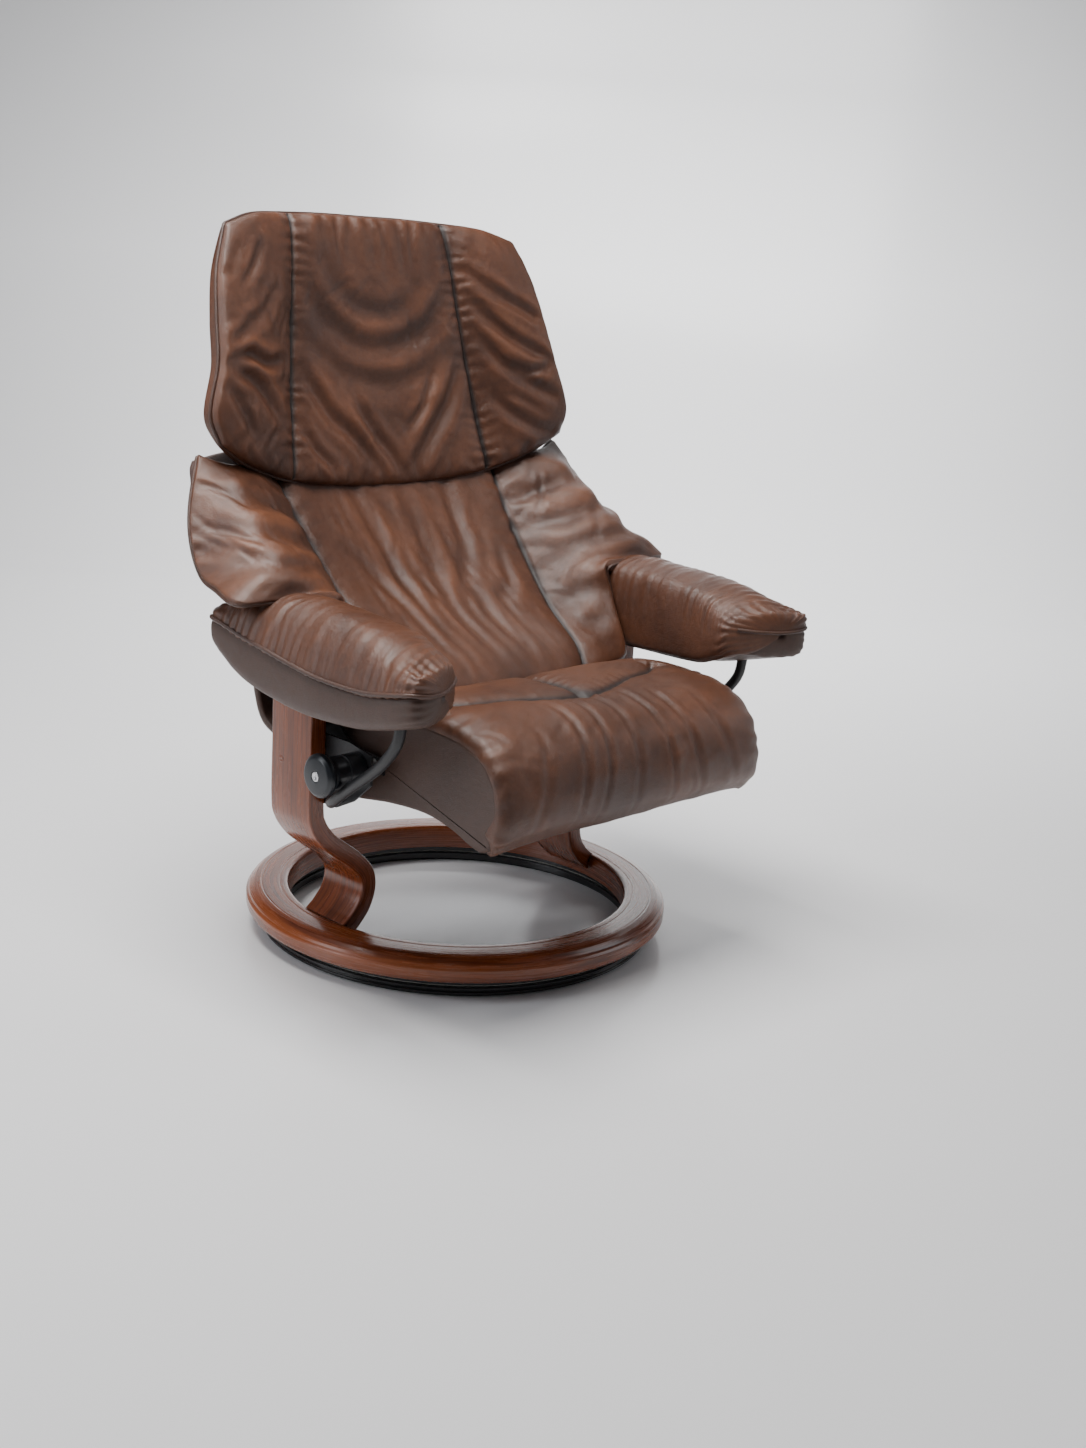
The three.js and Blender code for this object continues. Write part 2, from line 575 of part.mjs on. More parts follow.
function addHeadrest() {
  // Side view: crown and front face of the pad, then its lip and underside, then the flat rear.
  const pad = [
    ...smooth([
      [280, 960], [272, 1000], [256, 1009], [240, 1001], [226, 960], [210, 880], [192, 790], [168, 700],
      [152, 652], [151, 632], [166, 625], [186, 640], [206, 668], [236, 690], [262, 700],
    ], 34),
  ];
  const outline = [
    [0, 622], [180, 640], [300, 668], [335, 688], [332, 730], [308, 800], [297, 880], [284, 960],
    [head.topHalf - 8, 1000], [head.topHalf - 60, 1010],
  ];
  const wholeOutline = [...outline, ...outline.slice(1).reverse().map(([x, z]) => [-x, z])];
  add('headrest_cushion', common(
    sidePrism(pad, -340, 340), frontPrism(wholeOutline, 100, 360)), leather);

  // The box core fills the space between the pad's flat rear and the shell's flat middle.
  const padRear = (z) => 262 + ((z - 700) * 18) / 260;
  const shellInner = (z) => 325 + ((z - 780) * 6) / 160;
  const core = sidePrism([
    [padRear(800) + GAP, 800], [shellInner(800) - GAP, 800], [shellInner(900) - GAP, 900],
    [padRear(900) + GAP, 900],
  ], -105, 105);
  add('headrest_guide', joined(headGuide(), core), plywood);
  const rearLine = [
    ...smooth([[322, 694], [334, 760], [341, 850], [340, 940], [326, 986], [300, 1006], [282, 1010]], 12),
    [282, 1001], [296, 996], [316, 972], [shellInner(940), 940], [shellInner(780), 780], [313, 696],
  ];
  const shellOutline = wholeOutline.map(([x, z]) => [x * 0.965, Math.max(z, 690)]);
  add('headrest_shell', common(
    sidePrism(rearLine, -340, 340),
    frontPrism(shellOutline.filter(([, z], i) => z > 690 || i === 3 || i === wholeOutline.length - 3), 100, 360),
  ), leather);
}

addFloorUnit();
addBaseRing();
addLegs();
addSideMechanism();
addHandwheels();
addArms();
addSeat();
addBack();
addHeadLink();
addHeadrest();

const bounds = new THREE.Box3().setFromObject(group);
group.position.y = -(bounds.min.y + bounds.max.y) / 2;

export default group;
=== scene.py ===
# %% [markdown]
# # A leather recliner on a wooden ring
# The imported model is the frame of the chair: every moving body and every hard part is already in
# place. Here the leather, wood and metal that people see are put round that frame.

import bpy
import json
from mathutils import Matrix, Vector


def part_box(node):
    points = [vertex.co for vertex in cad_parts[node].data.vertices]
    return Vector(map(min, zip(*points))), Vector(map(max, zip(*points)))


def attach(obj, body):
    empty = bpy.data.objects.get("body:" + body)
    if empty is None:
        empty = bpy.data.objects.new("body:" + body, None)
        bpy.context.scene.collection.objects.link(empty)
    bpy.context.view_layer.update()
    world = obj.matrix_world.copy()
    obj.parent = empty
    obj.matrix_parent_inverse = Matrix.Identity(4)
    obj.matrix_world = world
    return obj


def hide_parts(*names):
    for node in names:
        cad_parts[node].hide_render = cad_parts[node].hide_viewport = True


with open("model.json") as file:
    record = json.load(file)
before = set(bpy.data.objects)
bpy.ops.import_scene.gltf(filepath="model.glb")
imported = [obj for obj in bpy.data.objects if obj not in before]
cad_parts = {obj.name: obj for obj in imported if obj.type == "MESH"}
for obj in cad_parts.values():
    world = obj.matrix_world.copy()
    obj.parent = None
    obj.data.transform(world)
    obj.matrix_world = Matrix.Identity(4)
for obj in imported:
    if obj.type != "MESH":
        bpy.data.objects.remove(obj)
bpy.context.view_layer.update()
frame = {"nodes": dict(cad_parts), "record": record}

import json
import math
import bmesh
import bpy
import numpy as np
from mathutils import Matrix, Vector

low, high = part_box("base_ring")
SWIVEL_Y = (low[1] + high[1]) / 2
print("swivel axis stands at y =", round(SWIVEL_Y, 4), "m")

# %% [markdown]
# The camera comes first, because every later choice of detail is judged through it. Its place and
# its three directions are written as plain vectors, measured from the swivel axis.

# %% Camera
eye = Vector((-1.66767, -1.75902 + SWIVEL_Y, 0.95498))
right_hand = Vector((0.70399, -0.70786, 0.05768))
upward = Vector((0.14562, 0.22336, 0.96380))
backward = right_hand.cross(upward).normalized()
upward = backward.cross(right_hand.normalized())
camera_data = bpy.data.cameras.new("studio_camera")
camera_data.lens, camera_data.sensor_width = 43.015, 36
camera_data.shift_x, camera_data.shift_y = 0.00235, 0.0026
camera = bpy.data.objects.new("studio_camera", camera_data)
camera.matrix_world = Matrix.Translation(eye) @ Matrix(
    (right_hand.normalized(), upward, backward)).transposed().to_4x4()
bpy.context.scene.collection.objects.link(camera)
bpy.context.scene.camera = camera
print("camera height", round(eye.z, 3), "m, lens", camera_data.lens, "mm")

# %% [markdown]
# ## Finishes
# A finish is a small network of nodes. What several finishes share is made once as a group: the
# grain of a hide. Each leather also lets lighter worn patches follow the ridges of the folds, and
# darkens the creases and seam grooves with painted shade. The folds are told to the shader by a
# number stored on every point of a cushion, `lift`, above zero on a ridge and below zero in a crease.


# %% Node helpers
def node_group(name, inputs, outputs):
    tree = bpy.data.node_groups.new(name, "ShaderNodeTree")
    for label, value in inputs.items():
        kind = "NodeSocketColor" if isinstance(value, tuple) else "NodeSocketFloat"
        tree.interface.new_socket(label, in_out="INPUT", socket_type=kind).default_value = value
    for label, kind in outputs.items():
        tree.interface.new_socket(label, in_out="OUTPUT", socket_type=kind)
    return tree, tree.nodes.new("NodeGroupInput"), tree.nodes.new("NodeGroupOutput")


def add_node(tree, kind, links=None, **settings):
    node = tree.nodes.new(kind)
    for key, value in settings.items():
        if key.startswith("in_"):
            label = key[3:]
            node.inputs[int(label) if label.isdigit() else label].default_value = value
        else:
            setattr(node, key, value)
    for label, source in (links or {}).items():
        tree.links.new(source, node.inputs[label])
    return node


def arithmetic(tree, operation, a, b=0.0, clamp=False):
    node = tree.nodes.new("ShaderNodeMath")
    node.operation, node.use_clamp = operation, clamp
    for socket, value in zip(node.inputs, (a, b)):
        if isinstance(value, (int, float)):
            socket.default_value = value
        else:
            tree.links.new(value, socket)
    return node.outputs[0]


def mixed(tree, factor, a, b):
    node = tree.nodes.new("ShaderNodeMix")
    node.data_type = "RGBA"
    for socket, value in ((node.inputs[0], factor), (node.inputs[6], a), (node.inputs[7], b)):
        if isinstance(value, (int, float, tuple)):
            socket.default_value = value
        else:
            tree.links.new(value, socket)
    return node.outputs[2]


def ramp(tree, source, low_value, high_value):
    return add_node(tree, "ShaderNodeMapRange", {"Value": source},
                    in_1=low_value, in_2=high_value).outputs[0]


# %% Hide grain, shared by every leather
def build_hide_grain():
    tree, given, out = node_group(
        "hide grain", {"Pores per metre": 620.0, "Patch size": 7.0},
        {"Height": "NodeSocketFloat", "Mottle": "NodeSocketFloat", "Fine": "NodeSocketFloat"})
    place = add_node(tree, "ShaderNodeTexCoord").outputs["Object"]
    pores = add_node(tree, "ShaderNodeTexVoronoi",
                     {"Vector": place, "Scale": given.outputs["Pores per metre"]},
                     feature="DISTANCE_TO_EDGE")
    fine = add_node(tree, "ShaderNodeTexNoise", {"Vector": place}, in_Scale=130.0, in_Detail=6.0,
                    in_Roughness=0.62)
    veins = add_node(tree, "ShaderNodeTexNoise", {"Vector": place}, in_Scale=34.0, in_Detail=5.0,
                     in_Distortion=1.4)
    patch = add_node(tree, "ShaderNodeTexNoise", {"Vector": place, "Scale": given.outputs["Patch size"]},
                     in_Detail=5.0, in_Roughness=0.6, in_Distortion=0.8)
    pore_height = ramp(tree, pores.outputs["Distance"], 0.0, 0.25)
    height = arithmetic(tree, "ADD", arithmetic(tree, "MULTIPLY", pore_height, 0.35),
                        arithmetic(tree, "MULTIPLY", fine.outputs[0], 0.65))
    height = arithmetic(tree, "ADD", height, arithmetic(tree, "MULTIPLY", veins.outputs[0], 1.6))
    tree.links.new(height, out.inputs["Height"])
    tree.links.new(patch.outputs[0], out.inputs["Mottle"])
    tree.links.new(fine.outputs[0], out.inputs["Fine"])
    return tree


hide_grain = build_hide_grain()
print("hide grain group has", len(hide_grain.nodes), "nodes")


# %% Leather
def leather(name, speck_and_shade_colour, body, worn, roughness, wear):
    finish = bpy.data.materials.new(name)
    finish.use_nodes = True
    tree = finish.node_tree
    shader = tree.nodes["Principled BSDF"]
    grain = add_node(tree, "ShaderNodeGroup", node_tree=hide_grain)
    grain.inputs["Pores per metre"].default_value = 620.0
    grain.inputs["Patch size"].default_value = 7.0
    lift = add_node(tree, "ShaderNodeAttribute", attribute_name="lift").outputs["Fac"]
    mottle = ramp(tree, grain.outputs["Mottle"], 0.3, 0.72)
    ridge = arithmetic(tree, "MULTIPLY", ramp(tree, lift, 0.0, 3.5), wear)
    warm = arithmetic(tree, "ADD", arithmetic(tree, "MULTIPLY", mottle, 0.55), ridge, clamp=True)
    # Painted shade: where lift falls from -5 to -9 mm, in creases and seam grooves, the colour is mixed into
    # the dark shade colour.
    painted_crease_shade = ramp(tree, lift, -5.0, -9.0)
    colour = mixed(tree, warm, body, worn)
    colour = mixed(tree, painted_crease_shade, colour, speck_and_shade_colour)
    speck = ramp(tree, grain.outputs["Fine"], 0.62, 0.35)
    colour = mixed(tree, arithmetic(tree, "MULTIPLY", speck, 0.22), colour, speck_and_shade_colour)
    tree.links.new(colour, shader.inputs["Base Color"])
    rough = arithmetic(tree, "ADD", roughness - 0.05,
                       arithmetic(tree, "MULTIPLY", grain.outputs["Fine"], 0.16))
    rough = arithmetic(tree, "ADD", rough, arithmetic(tree, "MULTIPLY", painted_crease_shade, 0.18))
    tree.links.new(rough, shader.inputs["Roughness"])
    bump = add_node(tree, "ShaderNodeBump", {"Height": grain.outputs["Height"]},
                    in_Strength=0.5, in_Distance=0.0011)
    tree.links.new(bump.outputs[0], shader.inputs["Normal"])
    shader.inputs["Coat Weight"].default_value = 0.1
    shader.inputs["Coat Roughness"].default_value = 0.3
    return finish


# The first colour of each leather is the dark of its grain specks and also the painted shade in its creases.
seat_leather = leather("brown aniline leather", (0.014, 0.006, 0.004, 1), (0.058, 0.0215, 0.0112, 1),
                       (0.185, 0.068, 0.031, 1), 0.34, 0.4)
side_leather = leather("plain side leather", (0.014, 0.0075, 0.005, 1), (0.058, 0.026, 0.0165, 1),
                       (0.078, 0.037, 0.024, 1), 0.46, 0.2)
piping_leather = leather("piping leather", (0.010, 0.005, 0.004, 1), (0.045, 0.019, 0.012, 1),
                         (0.11, 0.045, 0.025, 1), 0.38, 0.4)
print("leathers:", [m.name for m in (seat_leather, side_leather, piping_leather)])

# %% [markdown]
# The ring and the legs are stained beech, glued from thin layers. The grain runs along each piece, so
# the pattern reads a UV map: U runs along the grain and V across it, both in metres.


# %% Wood
def build_wood_figure():
    tree, given, out = node_group(
        "wood figure", {"Streaks": 160.0, "Layers": 0.0},
        {"Figure": "NodeSocketFloat", "Broad": "NodeSocketFloat", "Layer": "NodeSocketFloat"})
    uv = add_node(tree, "ShaderNodeUVMap", uv_map="grain").outputs[0]
    stretch = add_node(tree, "ShaderNodeMapping", {"Vector": uv}, in_Scale=(0.045, 1.0, 1.0))
    streaks = add_node(tree, "ShaderNodeTexNoise",
                       {"Vector": stretch.outputs[0], "Scale": given.outputs["Streaks"]},
                       in_Detail=7.0, in_Roughness=0.65, in_Distortion=0.5)
    broad = add_node(tree, "ShaderNodeTexNoise", {"Vector": stretch.outputs[0]}, in_Scale=38.0,
                     in_Detail=3.0, in_Distortion=1.2)
    across = add_node(tree, "ShaderNodeSeparateXYZ", {"Vector": uv}).outputs[1]
    wave = arithmetic(tree, "SINE", arithmetic(tree, "MULTIPLY", across, given.outputs["Layers"]))
    tree.links.new(streaks.outputs[0], out.inputs["Figure"])
    tree.links.new(broad.outputs[0], out.inputs["Broad"])
    tree.links.new(ramp(tree, wave, 0.75, 1.0), out.inputs["Layer"])
    return tree


wood_figure = build_wood_figure()
print("wood figure group has", len(wood_figure.nodes), "nodes")


# %% Stained wood
def stained_wood(name, layers):
    finish = bpy.data.materials.new(name)
    finish.use_nodes = True
    tree = finish.node_tree
    shader = tree.nodes["Principled BSDF"]
    figure = add_node(tree, "ShaderNodeGroup", node_tree=wood_figure)
    figure.inputs["Streaks"].default_value = 160.0
    figure.inputs["Layers"].default_value = layers
    colour = mixed(tree, ramp(tree, figure.outputs["Figure"], 0.32, 0.7),
                   (0.062, 0.0115, 0.0035, 1), (0.235, 0.05, 0.0115, 1))
    colour = mixed(tree, arithmetic(tree, "MULTIPLY", ramp(tree, figure.outputs["Broad"], 0.35, 0.7), 0.6),
                   colour, (0.34, 0.088, 0.021, 1))
    colour = mixed(tree, arithmetic(tree, "MULTIPLY", figure.outputs["Layer"], 0.55),
                   colour, (0.05, 0.0105, 0.004, 1))
    tree.links.new(colour, shader.inputs["Base Color"])
    tree.links.new(arithmetic(tree, "ADD", 0.2, arithmetic(tree, "MULTIPLY", figure.outputs["Figure"], 0.14)),
                   shader.inputs["Roughness"])
    bump = add_node(tree, "ShaderNodeBump", {"Height": figure.outputs["Figure"]},
                    in_Strength=0.25, in_Distance=0.0003)
    tree.links.new(bump.outputs[0], shader.inputs["Normal"])
    shader.inputs["Coat Weight"].default_value = 0.35
    shader.inputs["Coat Roughness"].default_value = 0.14
    return finish


ring_wood = stained_wood("turned ring wood", 0.0)
leg_wood = stained_wood("laminated leg wood", 2 * math.pi / 0.0034)
print("woods:", ring_wood.name, "and", leg_wood.name)


# %% Metals, plastics and cloth
def plain_finish(name, colour, second, roughness, metallic=0.0, scale=60.0, bump_mm=0.05):
    finish = bpy.data.materials.new(name)
    finish.use_nodes = True
    tree = finish.node_tree
    shader = tree.nodes["Principled BSDF"]
    place = add_node(tree, "ShaderNodeTexCoord").outputs["Object"]
    cloud = add_node(tree, "ShaderNodeTexNoise", {"Vector": place}, in_Scale=scale, in_Detail=5.0)
    tree.links.new(mixed(tree, cloud.outputs[0], colour, second), shader.inputs["Base Color"])
    tree.links.new(arithmetic(tree, "ADD", roughness - 0.06,
                              arithmetic(tree, "MULTIPLY", cloud.outputs[0], 0.12)),
                   shader.inputs["Roughness"])
    grain = add_node(tree, "ShaderNodeTexNoise", {"Vector": place}, in_Scale=scale * 14, in_Detail=3.0)
    bump = add_node(tree, "ShaderNodeBump", {"Height": grain.outputs[0]}, in_Strength=0.4,
                    in_Distance=bump_mm * 0.001)
    tree.links.new(bump.outputs[0], shader.inputs["Normal"])
    shader.inputs["Metallic"].default_value = metallic
    return finish


black_paint = plain_finish("black powder coat", (0.009, 0.009, 0.010, 1), (0.018, 0.018, 0.02, 1), 0.42,
                           bump_mm=0.12)
black_gloss = plain_finish("black ring lacquer", (0.006, 0.006, 0.007, 1), (0.014, 0.014, 0.016, 1), 0.22)
knob_plastic = plain_finish("satin black plastic", (0.007, 0.009, 0.012, 1), (0.014, 0.017, 0.022, 1), 0.3,
                            bump_mm=0.08)
bright_metal = plain_finish("brushed steel", (0.55, 0.55, 0.56, 1), (0.68, 0.68, 0.69, 1), 0.3, 1.0)
soft_rubber = plain_finish("black rubber", (0.011, 0.011, 0.011, 1), (0.022, 0.022, 0.022, 1), 0.75)
pale_nylon = plain_finish("natural nylon", (0.5, 0.49, 0.45, 1), (0.6, 0.59, 0.55, 1), 0.5)
birch_ply = plain_finish("birch plywood", (0.42, 0.27, 0.14, 1), (0.55, 0.38, 0.21, 1), 0.6, scale=24.0)
black_cloth = plain_finish("black webbing", (0.012, 0.012, 0.013, 1), (0.03, 0.03, 0.032, 1), 0.85,
                           scale=120.0, bump_mm=0.4)

# %% Finishes on the frame parts
SLOT_FINISH = {
    "leather": side_leather, "wood": leg_wood, "black_steel": black_paint, "black_plastic": knob_plastic,
    "bright_steel": bright_metal, "rubber": soft_rubber, "nylon": pale_nylon, "plywood": birch_ply,
    "webbing": black_cloth,
}
for entry in frame["record"]["subparts"]:
    node = frame["nodes"][entry["node"]]
    node.data.materials.clear()
    node.data.materials.append(SLOT_FINISH[entry["material_slot"]])

# %% [markdown]
# ## Mesh helpers
# Every cushion is a *pillow*: a curved sheet given by a few rows of guide points, puffed out on both
# sides and closed round its edge. The guide points are in millimetres from the swivel axis, for the
# half of the chair with x above zero; the other half is their mirror image.


# %% Points, curves and objects
def spline(values, at):
    """A smooth curve through rows of values, read at fractional row numbers."""
    values, at = np.asarray(values, float), np.clip(np.asarray(at, float), 0, len(values) - 1)
    padded = np.concatenate([[2 * values[0] - values[1]], values, [2 * values[-1] - values[-2]]])
    i = np.minimum(at.astype(int), len(values) - 2)
    t = (at - i).reshape((-1,) + (1,) * (values.ndim - 1))
    a, b, c, d = (padded[i + k] for k in range(4))
    return 0.5 * (2 * b + (c - a) * t + (2 * a - 5 * b + 4 * c - d) * t**2 + (3 * b - a - 3 * c + d) * t**3)


def in_row_frame(points):
    moved = np.asarray(points, float) * 0.001
    moved[..., 1] += SWIVEL_Y
    return moved


def make_piece(name, points, faces, finish, lift=None, uv=None):
    """A mesh object from millimetre points, with its faces turned outwards."""
    mesh = bpy.data.meshes.new(name)
    mesh.from_pydata(in_row_frame(points).reshape(-1, 3).tolist(), [], faces)
    if lift is not None:
        mesh.attributes.new("lift", "FLOAT", "POINT").data.foreach_set("value", np.ravel(lift))
    if uv is not None:
        layer = mesh.uv_layers.new(name="grain")
        corners = np.empty(len(mesh.loops), dtype=np.int32)
        mesh.loops.foreach_get("vertex_index", corners)
        layer.data.foreach_set("uv", np.asarray(uv)[corners].ravel())
    mesh.validate()
    work = bmesh.new()
    work.from_mesh(mesh)
    bmesh.ops.remove_doubles(work, verts=work.verts, dist=2e-6)
    bmesh.ops.recalc_face_normals(work, faces=work.faces)
    work.to_mesh(mesh)
    work.free()
    mesh.polygons.foreach_set("use_smooth", [True] * len(mesh.polygons))
    mesh.materials.append(finish)
    piece = bpy.data.objects.new(name, mesh)
    bpy.context.scene.collection.objects.link(piece)
    return piece


def grid_faces(rows, columns, wrap=False, start=0):
    faces = []
    for r in range(rows - 1):
        for c in range(columns if wrap else columns - 1):
            n = (c + 1) % columns
            a, b = start + r * columns + c, start + r * columns + n
            faces.append((a, b, b + columns, a + columns))
    return faces


# %% Noise and folds
def noise(a, b, seed=0):
    """Smooth random numbers from -1 to 1 over a plane."""
    ai, bi = np.floor(a).astype(np.int64), np.floor(b).astype(np.int64)
    fa, fb = a - ai, b - bi
    fa, fb = fa * fa * (3 - 2 * fa), fb * fb * (3 - 2 * fb)

    def corner(i, j):
        n = (i * 374761393 + j * 668265263 + seed * 974634777) & 0xFFFFFFFF
        n = ((n ^ (n >> 13)) * 1274126177) & 0xFFFFFFFF
        return ((n ^ (n >> 16)) & 0xFFFF) / 32767.5 - 1

    top = corner(ai, bi) * (1 - fa) + corner(ai + 1, bi) * fa
    end = corner(ai, bi + 1) * (1 - fa) + corner(ai + 1, bi + 1) * fa
    return top * (1 - fb) + end * fb


def near_path(a, b, path):
    """Distance from each point to a path, and how far along the path (0 to 1) the nearest place is."""
    best, where = np.full(a.shape, 1e9), np.zeros(a.shape)
    path = spline(path, np.linspace(0, len(path) - 1, 4 * (len(path) - 1) + 1))
    for k, (p, q) in enumerate(zip(path[:-1], path[1:])):
        d = q - p
        t = np.clip(((a - p[0]) * d[0] + (b - p[1]) * d[1]) / max(d @ d, 1e-9), 0, 1)
        gap = np.hypot(a - p[0] - t * d[0], b - p[1] - t * d[1])
        closer = gap < best
        best[closer], where[closer] = gap[closer], ((k + t) / (len(path) - 1))[closer]
    return best, where


# %% Folds and seams
def fold(a, b, path, width, depth):
    """A valley with a soft lip on both sides, fading out at its ends."""
    gap, along = near_path(a, b, path)
    fade = np.sin(np.pi * np.clip(along, 0.02, 0.98)) ** 0.5
    return fade * depth * (0.55 * np.exp(-((gap - 1.7 * width) / width) ** 2) - np.exp(-(gap / width) ** 2))


def seam(a, b, path, depth=3.0, wide=11.0, pucker=0.8, pitch=13.0, seed=1):
    """A sewn joint between two panels: a broad dip, a narrow groove, and small gathers beside it."""
    gap, along = near_path(a, b, path)
    length = sum(math.dist(p, q) for p, q in zip(path[:-1], path[1:]))
    run = along * length
    ends = np.where((along > 0.001) & (along < 0.999), 1.0, np.exp(-(gap / 6) ** 2))
    gathers = np.sin(2 * np.pi * run / pitch + 2.2 * noise(run / 21, gap / 40, seed))
    gathers *= 0.5 + 0.5 * noise(run / 34, 0 * run, seed + 5)
    skirt = np.exp(-(gap / (wide * 1.5)) ** 2) * (1 - np.exp(-(gap / 4) ** 2))
    return ends * (-depth * np.exp(-(gap / wide) ** 1.4) - 4.6 * np.exp(-(gap / 2.2) ** 2)
                   + pucker * gathers * skirt)


# %% Scattered folds
def scatter_folds(a, b, seed, count, box, angle, spread, length, width, depth):
    """Many small folds that run roughly one way inside a box."""
    chance = np.random.default_rng(seed)
    total = np.zeros_like(a)
    for _ in range(count):
        ca, cb = chance.uniform(box[0], box[1]), chance.uniform(box[2], box[3])
        turn = math.radians(angle + chance.normal(0, spread))
        reach = chance.uniform(0.5, 1.0) * length / 2
        bend = chance.normal(0, 0.16) * reach
        ahead, aside = np.array([math.cos(turn), math.sin(turn)]), np.array([-math.sin(turn), math.cos(turn)])
        middle = np.array([ca, cb])
        path = [middle - ahead * reach, middle + aside * bend, middle + ahead * reach]
        total += fold(a, b, path, width * chance.uniform(0.7, 1.3), depth * chance.uniform(0.4, 1.0))
    return total


# %% The pillow
def edge_crowded(count, crowd=0.45):
    s = np.linspace(0, 1, count)
    return s - crowd * np.sin(2 * np.pi * s) / (2 * np.pi)


def pillow(name, guide, finish, across, along, shape_u, shape_v, relief, facing=1):
    """guide: rows of (x, y, z, front puff, back puff). Returns the piece and its edge loop in mm."""
    guide = np.asarray(guide, float)
    other = guide[:, :0:-1].copy()
    other[..., 0] *= -1
    guide = np.concatenate([other, guide], axis=1)
    u, v = edge_crowded(across), edge_crowded(along)
    sheet = spline(guide, v * (len(guide) - 1))
    sheet = np.moveaxis(spline(np.moveaxis(sheet, 1, 0), u * (guide.shape[1] - 1)), 0, 1)
    front, puffs = sheet[..., :3], sheet[..., 3:]
    du, dv = np.gradient(front, axis=1), np.gradient(front, axis=0)
    out = np.cross(du, dv)
    out *= facing / np.maximum(np.linalg.norm(out, axis=-1, keepdims=True), 1e-9)
    middle = front - out * puffs[..., :1]
    rim_u = np.maximum(1 - np.abs(2 * u - 1) ** shape_u, 0) ** (1 / shape_u)
    rim_v = np.maximum(1 - np.abs(2 * v - 1) ** shape_v, 0) ** (1 / shape_v)
    full = rim_v[:, None] * rim_u[None, :]
    lift = relief(front, v[:, None] + 0 * full)
    rise = full * puffs[..., 0] + lift * np.clip(full * 1.6, 0, 1) ** 1.5
    face = middle + out * rise[..., None]
    rear = middle - out * (full * puffs[..., 1])[..., None]
    points = np.concatenate([face.reshape(-1, 3), rear.reshape(-1, 3)])
    count = along * across
    faces = grid_faces(along, across) + [f[::-1] for f in grid_faces(along, across, start=count)]
    lifts = np.concatenate([(lift * np.clip(full * 1.6, 0, 1)).ravel(), np.zeros(count)])
    piece = make_piece(name, points, faces, finish, lift=lifts)
    rim = np.concatenate([middle[0], middle[1:, -1], middle[-1, -2::-1], middle[-2:0:-1, 0]])
    print(name, "has", len(piece.data.polygons), "faces")
    return piece, rim


# %% Place in the frame
def dress(piece, body, nodes=()):
    """Tells the frame what a finished piece rides on and stands for."""
    if nodes:
        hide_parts(*nodes)
    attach(piece, body)
    return piece


# %% [markdown]
# ## Headrest
# A wide pad that wraps round the head. Two upright seams split it into three panels. The middle one
# is puckered along the crown and hangs in soft U-shaped drapes; below, folds run together towards a
# rolled hem that overlaps the back. The folds are placed one by one and then mixed with small
# random ones, because real hide never creases evenly.

# %% Headrest pad
head_guide = [
    [(0, 174, 626, 24, 26), (95, 168, 632, 24, 26), (180, 157, 646, 24, 26), (262, 146, 668, 22, 24),
     (318, 138, 697, 18, 22)],
    [(0, 190, 690, 32, 34), (90, 187, 692, 32, 34), (174, 178, 698, 32, 32), (256, 156, 712, 28, 28),
     (328, 139, 738, 22, 24)],
    [(0, 206, 770, 34, 34), (86, 204, 770, 34, 34), (166, 197, 772, 32, 32), (246, 170, 780, 28, 28),
     (309, 151, 803, 20, 22)],
    [(0, 220, 850, 34, 34), (80, 218, 850, 34, 34), (157, 212, 850, 32, 32), (234, 186, 853, 28, 28),
     (299, 168, 862, 22, 24)],
    [(0, 231, 930, 34, 34), (76, 230, 930, 34, 34), (148, 225, 930, 32, 32), (218, 203, 930, 28, 28),
     (288, 189, 925, 22, 24)],
    [(0, 241, 1004, 30, 30), (72, 240, 1004, 30, 30), (140, 236, 1002, 30, 30), (208, 224, 1000, 26, 26),
     (265, 212, 984, 18, 20)],
]
head_seams = [
    [(s * 184, 630), (s * 176, 700), (s * 166, 780), (s * 156, 860), (s * 147, 935), (s * 139, 1008)]
    for s in (-1, 1)]
head_drapes = [
    ([(-140, 905), (-95, 850), (-30, 818), (35, 822), (90, 850), (132, 900)], 17, 5.6),
    ([(-150, 860), (-90, 795), (-15, 772), (60, 780), (120, 815)], 19, 4.0),
    ([(-100, 935), (-55, 885), (0, 868), (55, 880), (100, 925)], 14, 2.2),
    ([(-150, 790), (-110, 730), (-60, 690), (-25, 650)], 11, 4.6),
    ([(150, 800), (120, 740), (80, 690), (45, 648)], 12, 5.0),
    ([(-60, 760), (-35, 710), (0, 672), (20, 640)], 10, 3.6),
    ([(-165, 720), (-140, 680), (-110, 655)], 8, 3.4),
    ([(95, 780), (70, 735), (40, 700)], 8, 3.0),
    ([(-300, 806), (-262, 812), (-225, 800), (-185, 802)], 9, 6.0),
    ([(-300, 798), (-265, 782), (-230, 752), (-205, 715)], 10, 5.0),
    ([(-296, 824), (-262, 846), (-226, 866), (-195, 900)], 9, 3.4),
    ([(-305, 770), (-280, 735), (-262, 700)], 9, 3.6),
    ([(-215, 960), (-238, 925), (-262, 900)], 7, 2.6),
    ([(165, 935), (210, 905), (262, 880), (290, 868)], 9, 4.2),
    ([(172, 890), (215, 852), (268, 822), (305, 806)], 9, 4.6),
    ([(180, 840), (225, 795), (282, 762), (315, 748)], 10, 4.4),
    ([(190, 760), (225, 728), (270, 704), (315, 700)], 10, 3.8),
    ([(300, 800), (262, 790), (228, 802)], 8, 3.6),
]


